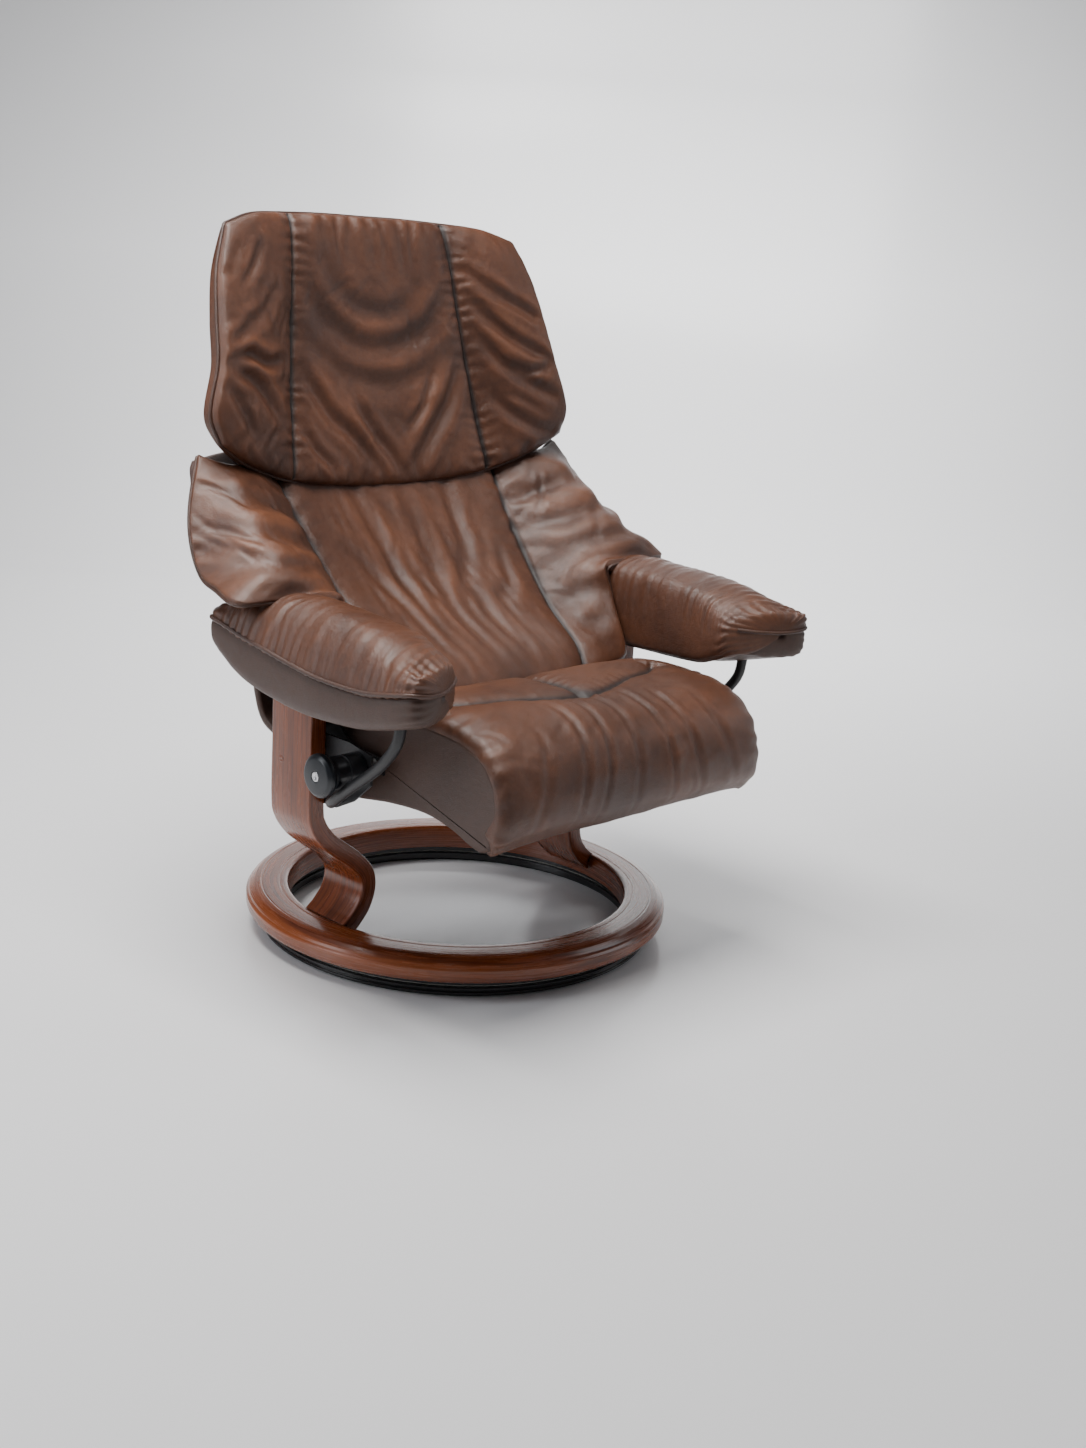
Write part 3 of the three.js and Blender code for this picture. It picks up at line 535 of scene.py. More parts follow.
# %% Folds of the headrest
def head_relief(front, v):
    x, z = front[..., 0], front[..., 2]
    total = np.zeros_like(x)
    for k, path in enumerate(head_seams):
        total += seam(x, z, path, depth=7.5, wide=15, pucker=1.1, pitch=17, seed=3 + k)
    for path, width, depth in head_drapes:
        total += fold(x, z, path, width, depth)
    crown = np.clip((z - 925) / 70, 0, 1) * np.exp(-(x / 150) ** 6)
    uneven = 0.6 + 0.4 * noise(x / 30, z / 50, 4)
    total += 2.4 * crown * np.sin(x / 4.6 + 2.4 * noise(x / 26, z / 60, 9)) * uneven
    hem = np.exp(-((v - 0.04) / 0.05) ** 2)
    total += 1.3 * hem * np.sin(x / 5.2 + 2.0 * noise(x / 30, z / 30, 11))
    total += scatter_folds(x, z, 21, 26, (-165, 165, 640, 960), 80, 28, 90, 6.0, 0.8)
    total += scatter_folds(x, z, 22, 22, (-310, -180, 690, 980), 30, 40, 70, 6.0, 1.0)
    total += scatter_folds(x, z, 23, 20, (180, 310, 690, 980), -35, 22, 80, 6.0, 0.9)
    total += 1.5 * noise(x / 55, z / 70, 31) + 0.7 * noise(x / 21, z / 27, 32)
    return total


headrest, head_rim = pillow("headrest_pad", head_guide, seat_leather, 260, 210, shape_u=5.5, shape_v=4.6,
                            relief=head_relief)
dress(headrest, "headrest", ["headrest_cushion"])

# %% Headrest rear cover
head_rear_guide = [
    [(0, 322, 700, 10, 10), (110, 316, 703, 10, 10), (205, 290, 712, 10, 10), (285, 240, 726, 8, 8)],
    [(0, 336, 775, 12, 12), (108, 328, 776, 12, 12), (196, 298, 780, 12, 12), (268, 244, 792, 8, 8)],
    [(0, 340, 860, 12, 12), (100, 334, 860, 12, 12), (186, 306, 860, 12, 12), (258, 254, 860, 8, 8)],
    [(0, 338, 935, 12, 12), (94, 332, 935, 12, 12), (174, 310, 932, 12, 12), (244, 266, 926, 8, 8)],
    [(0, 316, 990, 10, 10), (88, 312, 989, 10, 10), (160, 298, 985, 10, 10), (226, 274, 974, 8, 8)],
]


def smooth_relief(front, v):
    x, z = front[..., 0], front[..., 2]
    return 0.8 * noise(x / 60, z / 75, 41) + 0.4 * noise(x / 24, z / 30, 42)


head_cover, _ = pillow("headrest_rear_cover", head_rear_guide, side_leather, 120, 90, shape_u=7, shape_v=7,
                       relief=smooth_relief, facing=-1)
dress(head_cover, "headrest", ["headrest_shell"])

# %% [markdown]
# ## Lower back
# One hide with two seams. The middle panel falls in long soft folds to the seat; the two outer
# panels widen into wings that reach forward over the arms and end in gathered points.

# %% Lower back pad
back_guide = [
    [(0, -100, 388, 22, 30), (90, -100, 388, 22, 30), (160, -100, 389, 22, 30), (205, -99, 391, 20, 26),
     (232, -97, 393, 18, 22), (249, -92, 396, 14, 16)],
    [(0, -62, 418, 28, 34), (90, -62, 418, 28, 34), (168, -64, 419, 26, 34), (208, -66, 421, 24, 28),
     (236, -69, 425, 20, 22), (253, -70, 430, 14, 16)],
    [(0, 8, 452, 30, 36), (90, 6, 453, 30, 36), (176, 0, 456, 28, 36), (214, -12, 462, 24, 26),
     (241, -28, 470, 18, 20), (256, -40, 478, 12, 12)],
    [(0, 52, 480, 30, 36), (90, 50, 481, 30, 36), (180, 38, 486, 28, 34), (222, 18, 498, 22, 24),
     (248, -6, 512, 16, 14), (262, -22, 524, 10, 9)],
    [(0, 88, 506, 30, 36), (90, 86, 507, 30, 36), (184, 70, 515, 28, 34), (252, 30, 546, 20, 18),
     (326, -8, 548, 15, 9), (399, -14, 523, 9, 8)],
    [(0, 124, 545, 30, 36), (90, 122, 546, 30, 36), (189, 104, 553, 26, 34), (258, 72, 582, 22, 22),
     (334, 40, 582, 20, 14), (403, 56, 534, 12, 10)],
    [(0, 152, 580, 30, 34), (92, 150, 581, 30, 34), (194, 134, 588, 26, 32), (260, 106, 608, 22, 24),
     (332, 86, 612, 22, 18), (398, 100, 549, 14, 12)],
    [(0, 184, 625, 28, 30), (94, 182, 626, 28, 30), (200, 168, 632, 24, 28), (256, 146, 642, 22, 24),
     (318, 130, 646, 22, 20), (379, 140, 612, 16, 16)],
    [(0, 208, 665, 22, 22), (96, 206, 666, 22, 22), (206, 194, 668, 20, 22), (256, 178, 670, 18, 20),
     (304, 168, 677, 20, 18), (338, 174, 684, 12, 12)],
]
back_seams = [[(s * 150, 385), (s * 168, 430), (s * 180, 480), (s * 186, 520), (s * 192, 575), (s * 202, 640),
               (s * 206, 675)] for s in (-1, 1)]


back_falls = [  # x at the top, x at the seat, z at the top, width, depth
    (-128, -78, 560, 9, 3.2), (-80, -50, 655, 12, 3.6), (-34, -26, 545, 9, 2.6), (22, 4, 650, 13, 2.6),
    (70, 34, 560, 9, 3.0), (108, 62, 650, 11, 3.6), (150, 104, 540, 8, 2.6)]
wing_folds = [
    ([(196, 592), (240, 612), (290, 628), (335, 628)], 11, 4.5),
    ([(200, 560), (250, 572), (310, 590), (372, 598)], 11, 5.0),
    ([(205, 530), (255, 548), (310, 560), (380, 566)], 10, 4.6),
    ([(192, 500), (220, 520), (250, 535)], 9, 3.2),
    ([(190, 460), (215, 470), (240, 490)], 9, 2.4),
    ([(186, 430), (212, 436), (240, 446)], 8, 2.0),
]
print("the back has", len(back_falls), "long folds and", len(wing_folds), "on each wing")


# %% Folds of the back
def back_relief(front, v):
    x, z = front[..., 0], front[..., 2]
    total = np.zeros_like(x)
    for k, path in enumerate(back_seams):
        total += seam(x, z, path, depth=7.5, wide=15, pucker=1.1, pitch=17, seed=51 + k)
    for start, end, top, width, depth in back_falls:
        middle = ((start + end) / 2 + 7, (top + 400) / 2 + 20)
        total += fold(x, z, [(start, top), middle, (end - 4, 470), (end, 405)], width, depth)
    for s in (-1, 1):
        side = s * x
        for path, width, depth in wing_folds:
            total += fold(side, z, path, width, depth)
        tip = np.exp(-(((side - 396) / 42) ** 2 + ((z - 552) / 26) ** 2))
        total += 2.6 * tip * np.sin((z + 0.5 * side) / 3.6)
        total += scatter_folds(side, z, 61, 16, (205, 370, 560, 660), 25, 20, 80, 5.0, 1.5)
    total += scatter_folds(x, z, 62, 26, (-160, 160, 410, 600), 86, 14, 90, 5, 1.1)
    total += 1.6 * noise(x / 48, z / 90, 63) + 0.8 * noise(x / 19, z / 30, 64)
    return total


lower_back, back_rim = pillow("lower_back_pad", back_guide, seat_leather, 280, 200, shape_u=7, shape_v=6,
                              relief=back_relief)
dress(lower_back, "back", ["back_cushion", "back_wing_left", "back_wing_right"])

# %% [markdown]
# The rear cover is thick at its edges and thin in the middle of its upper half, where the link of the
# headrest swings just in front of it as the chair reclines.

# %% Back rear cover
back_rear_guide = [
    [(0, 116, 286, 8, 8), (110, 116, 286, 8, 8), (200, 116, 286, 8, 8), (250, 112, 288, 6, 6)],
    [(0, 168, 304, 9, 9), (110, 168, 304, 9, 9), (200, 166, 305, 9, 9), (250, 154, 308, 6, 6)],
    [(0, 196, 350, 10, 10), (110, 196, 350, 10, 10), (200, 192, 350, 9, 9), (251, 172, 352, 6, 6)],
    [(0, 224, 425, 10, 10), (110, 223, 425, 10, 10), (200, 214, 425, 9, 9), (252, 184, 430, 6, 6)],
    [(0, 256, 505, 7, 6), (112, 254, 505, 8, 7), (205, 240, 506, 9, 9), (268, 196, 512, 6, 6)],
    [(0, 285, 580, 5, 4), (118, 283, 580, 6, 5), (225, 262, 582, 9, 9), (330, 196, 590, 6, 6)],
    [(0, 308, 640, 4, 4), (122, 304, 640, 5, 4), (232, 276, 642, 9, 9), (334, 210, 648, 6, 6)],
    [(0, 317, 668, 4, 4), (124, 313, 668, 5, 4), (236, 280, 668, 8, 8), (328, 216, 668, 6, 6)],
]
back_cover, _ = pillow("back_rear_cover", back_rear_guide, side_leather, 120, 130, shape_u=9, shape_v=9,
                       relief=smooth_relief, facing=-1)
dress(back_cover, "back", ["back_shell"])

# %% [markdown]
# ## Seat
# The seat rolls over its front edge like a waterfall. A seam from the back forks into a Y; from the
# fork, soft pleats run forward over the edge.

# %% Seat pad
seat_line = [  # y, z, upper puff, lower puff
    (-84, 384, 18, 18), (-110, 396, 24, 22), (-160, 404, 27, 24), (-244, 402, 28, 24), (-298, 389, 28, 22),
    (-334, 362, 27, 20), (-352, 320, 26, 18), (-352, 278, 24, 15), (-336, 246, 17, 12)]
seat_columns = [(0, 0, 0), (100, 0, 0), (195, 1, 1), (238, 4, 5), (259, 9, 12)]  # x, set back, drop
FRONT_HEM_WIDTH = 0.955
seat_guide = [[(x * (FRONT_HEM_WIDTH if row == len(seat_line) - 1 else 1), y + bow, z - drop, up, down)
               for x, bow, drop in seat_columns]
              for row, (y, z, up, down) in enumerate(seat_line)]
seat_fork = [
    [(0, -60), (0, -120), (0, -180), (0, -244)],
    [(0, -244), (60, -228), (120, -207), (172, -196), (200, -180)],
    [(0, -244), (-60, -228), (-120, -207), (-172, -196), (-200, -180)],
]


seat_pleats = [  # x at the fork, x at the front hem, place along the seat, width, depth
    (-160, -205, -300, 7, 1.6), (-92, -128, -250, 6, 2.8), (-50, -84, -235, 5, 2.6), (-6, -16, -262, 6, 2.2),
    (46, 60, -240, 5, 3.0), (90, 122, -270, 6, 2.6), (150, 196, -300, 7, 1.6)]
print("the seat has", len(seat_pleats), "pleats")


# %% Folds of the seat
def seat_relief(front, v):
    x = front[..., 0]
    step = np.linalg.norm(np.diff(front, axis=0, prepend=front[:1]), axis=-1)
    run = -(np.cumsum(step, axis=0) + 84)
    total = np.zeros_like(x)
    for k, path in enumerate(seat_fork):
        total += seam(x, run, path, depth=8.5, wide=15, pucker=0.9, pitch=16, seed=71 + k)
    for start, end, top, width, depth in seat_pleats:
        total += fold(x, run, [(start, top), (start * 1.04, top * 0.6 - 160), (end, -450)], width, depth)
    edge = np.exp(-((259 - np.abs(x)) / 34) ** 2)
    uneven = 0.65 + 0.35 * noise(run / 40, x / 60, 76)
    total += 1.3 * edge * np.sin(run / 4.8 + 2.4 * noise(run / 31, x / 40, 75)) * uneven
    total += scatter_folds(x, run, 77, 26, (-230, 230, -440, -140), 75, 30, 80, 6, 0.6)
    total += scatter_folds(x, run, 78, 20, (-240, 240, -400, -100), 20, 30, 80, 7.0, 0.7)
    total += 1.7 * noise(x / 70, run / 60, 79) + 0.8 * noise(x / 26, run / 24, 80)
    return total


seat_pad, _ = pillow("seat_pad", seat_guide, seat_leather, 240, 250, shape_u=5.5, shape_v=5,
                     relief=seat_relief, facing=-1)
dress(seat_pad, "seat", ["seat_cushion"])

# %% [markdown]
# The tray under the seat is covered with plain hide, one panel on each side with rounded edges.

# %% Rounded panels
def smooth_outline(points, count):
    closed = np.asarray(points + points[:1], float)
    return spline(closed, np.linspace(0, len(points), count, endpoint=False))


def rounded_panel(name, outline, inner, outer, finish, radius=4.0, side=1):
    """A thick panel with an outline in the side view, (y, z), and rounded edges; side is +1 or -1."""
    outline = np.asarray(outline, float)
    ahead = np.roll(outline, -1, axis=0) - np.roll(outline, 1, axis=0)
    normal = np.stack([ahead[:, 1], -ahead[:, 0]], axis=1)
    normal /= np.linalg.norm(normal, axis=1, keepdims=True)
    area = np.sum(outline[:, 0] * np.roll(outline[:, 1], -1) - np.roll(outline[:, 0], -1) * outline[:, 1])
    normal *= np.sign(area)
    rings = []
    for turn in np.linspace(0, math.pi / 2, 5):
        rings.append((inner + radius * (1 - math.sin(turn)), radius * (1 - math.cos(turn))))
    rings = rings[::-1]
    rings += [(inner + outer - x, inset) for x, inset in rings[::-1]]
    points, faces, n = [], [], len(outline)
    for x, inset in rings:
        flat = outline - normal * inset
        points += [(side * x, y, z) for y, z in flat]
    faces += grid_faces(len(rings), n, wrap=True)
    flat = outline - normal * (radius + 1.5)
    for x, base in ((inner, 0), (outer, (len(rings) - 1) * n)):
        start = len(points)
        points += [(side * x, y, z) for y, z in flat]
        faces += [(base + i, base + (i + 1) % n, start + (i + 1) % n, start + i) for i in range(n)]
        faces.append(tuple(range(start, start + n)))
    return make_piece(name, points, faces, finish)


# %% Seat skirts
skirt_line = smooth_outline([
    (-322, 250), (-333, 285), (-331, 322), (-316, 348), (-288, 368), (-240, 379), (-160, 381), (-90, 374),
    (0, 368), (52, 360), (60, 300), (58, 256), (0, 248), (-66, 252), (-132, 262), (-200, 266), (-252, 258),
    (-284, 247), (-306, 243)], 160)
for side, word in ((1, "left"), (-1, "right")):
    skirt = rounded_panel(f"seat_skirt_{word}", skirt_line, 240, 254.5, side_leather, radius=5, side=side)
    dress(skirt, "seat", [f"seat_side_panel_{word}"])
print("seat skirts made")

# %% [markdown]
# ## Arms
# The armrest is a rolled pad sewn to a plain side panel along a piping. Fine wrinkles run across
# the roll, and the front end is gathered into a rounded nose.

# %% Arm pads
arm_stations = [  # y, inner low, crest, piping, bottom, outer x
    (-332, 426, 486, 460, 424, 372), (-312, 420, 492, 462, 421, 380), (-280, 410, 501, 457, 413, 386),
    (-230, 400, 513, 450, 402, 388), (-153, 397, 522, 450, 396, 389), (-90, 397, 526, 457, 397, 389),
    (-40, 398, 527, 465, 403, 389), (10, 402, 523, 473, 414, 389), (50, 414, 513, 481, 432, 389),
    (90, 440, 502, 487, 456, 388)]


ARM_MIDDLE, ARM_OUTER, ARM_WIDTH = 326, 389, 127  # x of the middle line and the outer side, mm
print("arm stations from y =", arm_stations[0][0], "to", arm_stations[-1][0], "mm")


# %% Arm shape
def nose(t, front=0.07, rear=0.03, power=2.8):
    """How full the section is along the arm: it closes in a round nose at both ends."""
    reach = np.clip(np.minimum(t / front, (1 - t) / rear), 0, 1)
    return np.maximum(1 - (1 - reach) ** power, 0) ** (1 / power)


def arm_shape(stations, t):
    """How wide and how high each section stays, and how far its inner side is set back, mm."""
    return nose(t, 0.15, 0.05, 2.3), nose(t), 62 * np.clip((-170 - stations[:, 0]) / 150, 0, 1)


def inward(x):
    """0 at the outer side of the arm, 1 at its inner side: the front end is cut back towards the seat."""
    return (np.clip(ARM_OUTER - x, 0, ARM_WIDTH) / ARM_WIDTH) ** 1.3


def arm_loft(section, rows, columns, relief):
    t = edge_crowded(rows, 0.8)
    stations = spline(arm_stations, t * (len(arm_stations) - 1))
    points, lifts = [], []
    for (y, low_z, crest, piped, bottom, outer), wide, high, slant in zip(stations, *arm_shape(stations, t)):
        loop = spline(*closed_section(section(low_z, crest, piped, bottom, outer), columns))
        ahead = np.roll(loop, -1, axis=0) - np.roll(loop, 1, axis=0)
        out = np.stack([-ahead[:, 1], ahead[:, 0]], axis=1)
        out /= np.maximum(np.linalg.norm(out, axis=1, keepdims=True), 1e-9)
        around = np.linspace(0, 1, columns, endpoint=False)
        lift = relief(y + 0 * around, around, loop) * high
        loop = loop + out * lift[:, None]
        middle = np.array([ARM_MIDDLE, piped - 3])
        loop = middle + (loop - middle) * [wide, high]
        points += [(x, y + slant * inward(x), z) for x, z in loop]
        lifts += list(lift)
    faces = grid_faces(rows, columns, wrap=True)
    return np.array(points), faces, np.array(lifts)


def closed_section(corners, columns):
    corners = np.asarray(corners + corners[:1], float)
    return corners, np.linspace(0, len(corners) - 1, columns, endpoint=False)


# %% Arm pad
def pad_section(low_z, crest, piped, bottom, outer):
    return [(270, low_z + 2), (262.5, low_z + 14), (261.5, (low_z + crest) / 2), (268, crest - 20),
            (288, crest - 6), (322, crest), (354, crest - 6), (376, (crest + piped) / 2 + 5),
            (outer, piped + 3),
            (outer - 5, piped - 5), (outer - 30, piped - 8), (300, low_z + 8)]


def pad_relief(y, around, loop):
    x, z = loop[:, 0], loop[:, 1]
    top = np.clip((z - 440) / 40, 0, 1)
    uneven = 0.5 + 0.5 * noise(x / 45, y / 40, 82)
    total = 0.9 * top * np.sin(y / 2.6 + 2.6 * noise(x / 30, y / 26, 81)) * uneven
    total += 1.5 * top * noise(y / 10, x / 46, 83)
    near_front = np.exp(-((y + 318) / 26) ** 2)
    total += 1.1 * near_front * np.sin(around * 2 * np.pi * 23 + 2 * noise(around * 9, y / 30, 84))
    near_rear = np.exp(-((y - 80) / 40) ** 2)
    total += 1.2 * near_rear * np.sin(around * 2 * np.pi * 13)
    piping_dip = np.exp(-((x - 384) / 8) ** 2) * np.exp(-((z - 464) / 26) ** 2)
    total += 1.0 * piping_dip * np.sin(y / 2.2)
    return total + 1.1 * noise(y / 60, x / 50, 85)


# %% Arm side panel
def panel_section(low_z, crest, piped, bottom, outer):
    return [(276, bottom + 8), (274, low_z + 4), (300, piped - 18), (360, piped - 12), (outer - 8, piped - 4),
            (outer - 1, piped - 6), (outer + 0.5, (piped + bottom) / 2 + 2), (outer - 2, bottom + 8),
            (outer - 12, bottom), (340, bottom - 2), (300, bottom)]


def panel_relief(y, around, loop):
    z = loop[:, 1]
    near_front = np.exp(-((y + 316) / 22) ** 2)
    return (0.5 * noise(y / 55, z / 30, 86) + 0.35 * noise(y / 18, z / 14, 87)
            + 0.6 * near_front * np.sin(around * 2 * np.pi * 15))


# %% Both arms
for side, word in ((1, "left"), (-1, "right")):
    points, faces, lifts = arm_loft(pad_section, 210, 132, pad_relief)
    points[:, 0] *= side
    pad = make_piece(f"arm_roll_{word}", points, faces, seat_leather, lift=lifts)
    dress(pad, "base", [f"arm_pad_{word}"])
    points, faces, lifts = arm_loft(panel_section, 120, 96, panel_relief)
    points[:, 0] *= side
    panel = make_piece(f"arm_shell_{word}", points, faces, side_leather, lift=lifts)
    dress(panel, "base", [f"arm_side_panel_{word}", f"arm_core_{word}"])
    print("arm", word, "made")

# %% [markdown]
# ## Piping
# A piping is a thin cord wrapped in a strip of hide and sewn into the seam. It follows a line, so
# it is made with Geometry Nodes: the line becomes a curve, and a small round profile is swept
# along it.


# %% Piping tree
def build_piping_tree():
    tree = bpy.data.node_groups.new("piping along a line", "GeometryNodeTree")
    face = tree.interface
    face.new_socket("Line", in_out="INPUT", socket_type="NodeSocketGeometry")
    for label, value in (("Radius", 0.0026), ("Spacing", 0.004)):
        face.new_socket(label, in_out="INPUT", socket_type="NodeSocketFloat").default_value = value
    face.new_socket("Sides", in_out="INPUT", socket_type="NodeSocketInt").default_value = 8
    face.new_socket("Hide", in_out="INPUT", socket_type="NodeSocketMaterial")
    face.new_socket("Piping", in_out="OUTPUT", socket_type="NodeSocketGeometry")
    given, out = tree.nodes.new("NodeGroupInput"), tree.nodes.new("NodeGroupOutput")
    line = add_node(tree, "GeometryNodeMeshToCurve", {"Mesh": given.outputs["Line"]})
    even = add_node(tree, "GeometryNodeResampleCurve",
                    {"Curve": line.outputs[0], "Length": given.outputs["Spacing"]}, mode="LENGTH")
    ring = add_node(tree, "GeometryNodeCurvePrimitiveCircle",
                    {"Radius": given.outputs["Radius"], "Resolution": given.outputs["Sides"]})
    swept = add_node(tree, "GeometryNodeCurveToMesh",
                     {"Curve": even.outputs[0], "Profile Curve": ring.outputs[0]}, in_2=True)
    real = add_node(tree, "GeometryNodeRealizeInstances", {"Geometry": swept.outputs[0]})
    done = add_node(tree, "GeometryNodeSetMaterial",
                    {"Geometry": real.outputs[0], "Material": given.outputs["Hide"]})
    tree.links.new(done.outputs[0], out.inputs[0])
    return tree


piping_tree = build_piping_tree()


# %% A tree run on a line
def from_tree(name, tree, line, values, loop=False):
    """Runs a tree on a line of millimetre points and keeps the result as a plain mesh."""
    mesh = bpy.data.meshes.new(name)
    points = in_row_frame(line)
    edges = [(i, i + 1) for i in range(len(points) - 1)] + ([(len(points) - 1, 0)] if loop else [])
    mesh.from_pydata(points.tolist(), edges, [])
    guide = bpy.data.objects.new(name + "_line", mesh)
    bpy.context.scene.collection.objects.link(guide)
    modifier = guide.modifiers.new("tree", "NODES")
    modifier.node_group = tree
    for item in tree.interface.items_tree:
        if item.in_out == "INPUT" and item.name in values:
            modifier[item.identifier] = values[item.name]
    seen = guide.evaluated_get(bpy.context.evaluated_depsgraph_get())
    result = bpy.data.meshes.new_from_object(seen)
    bpy.data.objects.remove(guide)
    work = bmesh.new()
    work.from_mesh(result)
    bmesh.ops.recalc_face_normals(work, faces=work.faces)
    work.to_mesh(result)
    work.free()
    result.polygons.foreach_set("use_smooth", [True] * len(result.polygons))
    piece = bpy.data.objects.new(name, result)
    bpy.context.scene.collection.objects.link(piece)
    return piece


# %% Piping on the cushions
def ease(line, passes=6, loop=True):
    line = np.asarray(line, float)
    for _ in range(passes):
        if loop:
            line = 0.5 * line + 0.25 * (np.roll(line, 1, axis=0) + np.roll(line, -1, axis=0))
        else:
            line[1:-1] = 0.5 * line[1:-1] + 0.25 * (line[:-2] + line[2:])
    return line


for name, rim, body in (("headrest_piping", head_rim, "headrest"), ("lower_back_piping", back_rim, "back")):
    piece = from_tree(name, piping_tree, ease(rim), {"Radius": 0.0027, "Hide": piping_leather}, loop=True)
    dress(piece, body)
for side, word in ((1, "left"), (-1, "right")):
    t = np.concatenate([np.linspace(0.97, 0.05, 150), 0.05 * np.linspace(1, 0, 40) ** 2])
    stations = spline(arm_stations, t * (len(arm_stations) - 1))
    wide, _, slant = arm_shape(stations, t)
    outer_x = ARM_MIDDLE + (stations[:, 5] + 0.6 - ARM_MIDDLE) * wide
    inner_x = ARM_MIDDLE - 62 * wide
    run, level = stations[:, 0], stations[:, 3] - 2 + 2.5 * wide
    there = np.stack([outer_x, run, level], axis=1)
    round_end = t < 0.06
    back = np.stack([inner_x, run, level], axis=1)[round_end][::-1]
    line = np.vstack([there, back[1:]])
    line[:, 1] += np.append(slant, slant[round_end][::-1][1:]) * inward(line[:, 0])
    line[:, 0] *= side
    piece = from_tree(f"arm_piping_{word}", piping_tree, ease(line, passes=3, loop=False),
                      {"Radius": 0.0029, "Hide": piping_leather})
    dress(piece, "base")

# %% [markdown]
# ## Wooden ring and legs
# The ring is turned, so it is one profile swung round the axis. A leg is a ribbon of glued layers
# bent in a press: a rounded rectangle carried along a curved line. Both get a UV map that runs
# with the grain.


# %% Turned pieces
def turned(name, profile, finish, sides=180, axis_x=None):
    """A closed profile of (radius, height) in mm, swung round the swivel axis, or round a line along X."""
    profile = np.asarray(profile, float)
    angle = np.linspace(0, 2 * math.pi, sides + 1)
    step = np.diff(np.vstack([profile, profile[:1]]), axis=0)
    run = np.concatenate([[0], np.cumsum(np.linalg.norm(step, axis=1))])
    points, uv = [], []
    mean = profile[:, 0].max()
    for a in angle[:-1]:
        for (r, h), d in zip(profile, run):
            if axis_x is None:
                points.append((r * math.cos(a), r * math.sin(a), h))
            else:
                side, y, z = axis_x
                points.append((side * h, y + r * math.cos(a), z + r * math.sin(a)))
            uv.append((a * mean * 0.001, d * 0.001))
    n, faces = len(profile), []
    for k in range(sides):
        m = (k + 1) % sides
        for i in range(n):
            j = (i + 1) % n
            faces.append((k * n + i, m * n + i, m * n + j, k * n + j))
    return make_piece(name, points, faces, finish, uv=uv)


# %% Rounded outlines
def rounded_profile(corners, radii, steps=5):
    """A closed outline with each corner rounded by its own radius."""
    corners, out = np.asarray(corners, float), []
    for i, radius in enumerate(radii):
        before, here, after = corners[i - 1], corners[i], corners[(i + 1) % len(corners)]
        if radius <= 0:
            out.append(here)
            continue
        a, b = (before - here) / np.linalg.norm(before - here), (after - here) / np.linalg.norm(after - here)
        half = math.acos(float(np.clip(a @ b, -1, 1))) / 2
        room = 0.49 * min(np.linalg.norm(before - here), np.linalg.norm(after - here))
        reach = min(radius / math.tan(half), room)
        start, end = here + a * reach, here + b * reach
        for t in np.linspace(0, 1, steps):
            out.append((1 - t) ** 2 * start + 2 * t * (1 - t) * here + t**2 * end)
    return np.array(out)


# %% Rings
ring_profile = rounded_profile(
    [(248.2, 25.5), (290.5, 25.5), (292, 28.4), (306, 28.8), (308.6, 33), (309, 47.2), (305.6, 50.2),
     (304.4, 53.4), (297, 59.2), (288.5, 61.5), (286.8, 60.9), (285.4, 61.5), (262, 61.5), (260.8, 61.0),
     (259.6, 61.5), (248.2, 61.5)],
    [1, 1, 1, 2, 2.5, 2.6, 1.0, 1.2, 5, 0.6, 0.5, 0.6, 0.3, 0.4, 0.3, 5.5])
ring = turned("base_ring_turned", ring_profile, ring_wood, sides=200)
dress(ring, "base", ["base_ring"])
lower_ring = turned("floor_ring_turned", rounded_profile(
    [(256, 3.4), (286.8, 3.4), (286.8, 6.6), (284.4, 8.3), (286.8, 10), (286.8, 13.4), (256, 13.4)],
    [1, 1, 0.6, 0.8, 0.6, 1, 1]), black_gloss, sides=160)
dress(lower_ring, "floor_unit", ["floor_ring"])
upper_ring = turned("swivel_ring_turned", rounded_profile(
    [(256, 17.3), (286.8, 17.3), (286.8, 24.8), (256, 24.8)], [1, 1.4, 1.4, 1]), black_gloss, sides=160)
dress(upper_ring, "base", ["swivel_ring"])
print("rings turned")

# %% Bent legs
leg_line = [(301, 414.5), (301, 330), (301, 240), (296, 214), (279, 190), (256, 171), (231, 152), (211, 130),
            (206, 108), (213, 84), (228, 65), (238, 56.5), (247.4, 49.2)]


def bent_leg(word, side):
    t = np.linspace(0, len(leg_line) - 1, 150)
    line = spline(leg_line, t)
    ahead = np.gradient(line, axis=0)
    ahead /= np.linalg.norm(ahead, axis=1, keepdims=True)
    out = np.stack([-ahead[:, 1], ahead[:, 0]], axis=1)
    run = np.concatenate([[0], np.cumsum(np.linalg.norm(np.diff(line, axis=0), axis=1))])
    section = rounded_profile([(-12.4, -42.4), (12.4, -42.4), (12.4, 42.4), (-12.4, 42.4)], [2.6] * 4,
                              steps=4)
    points, uv = [], []
    for (px, pz), (ox, oz), r in zip(line, out, run):
        for across, y in section:
            x, z = px + ox * across, pz + oz * across
            if z < 62:
                x = min(x, math.sqrt(247.5**2 - y * y))
            points.append((side * x, y, max(z, 26)))
            uv.append((r * 0.001, (across + 0.35 * y) * 0.001 if abs(across) > 10.5 else across * 0.001))
    n = len(section)
    last = (len(line) - 1) * n
    faces = grid_faces(len(line), n, wrap=True) + [tuple(range(n)), tuple(range(last, last + n))]
    return make_piece(f"leg_bent_{word}", points, faces, leg_wood, uv=uv)


for side, word in ((1, "left"), (-1, "right")):
    dress(bent_leg(word, side), "base", [f"leg_{word}"])
    plug = turned(f"leg_plug_turned_{word}", rounded_profile(
        [(0.02, 310), (4.6, 310), (4.6, 313.9), (0.02, 314.4)], [0, 0.3, 0.8, 0]), leg_wood, sides=32,
        axis_x=(side, 20, 295))
    dress(plug, "base", [f"leg_plug_{word}"])
print("legs bent")

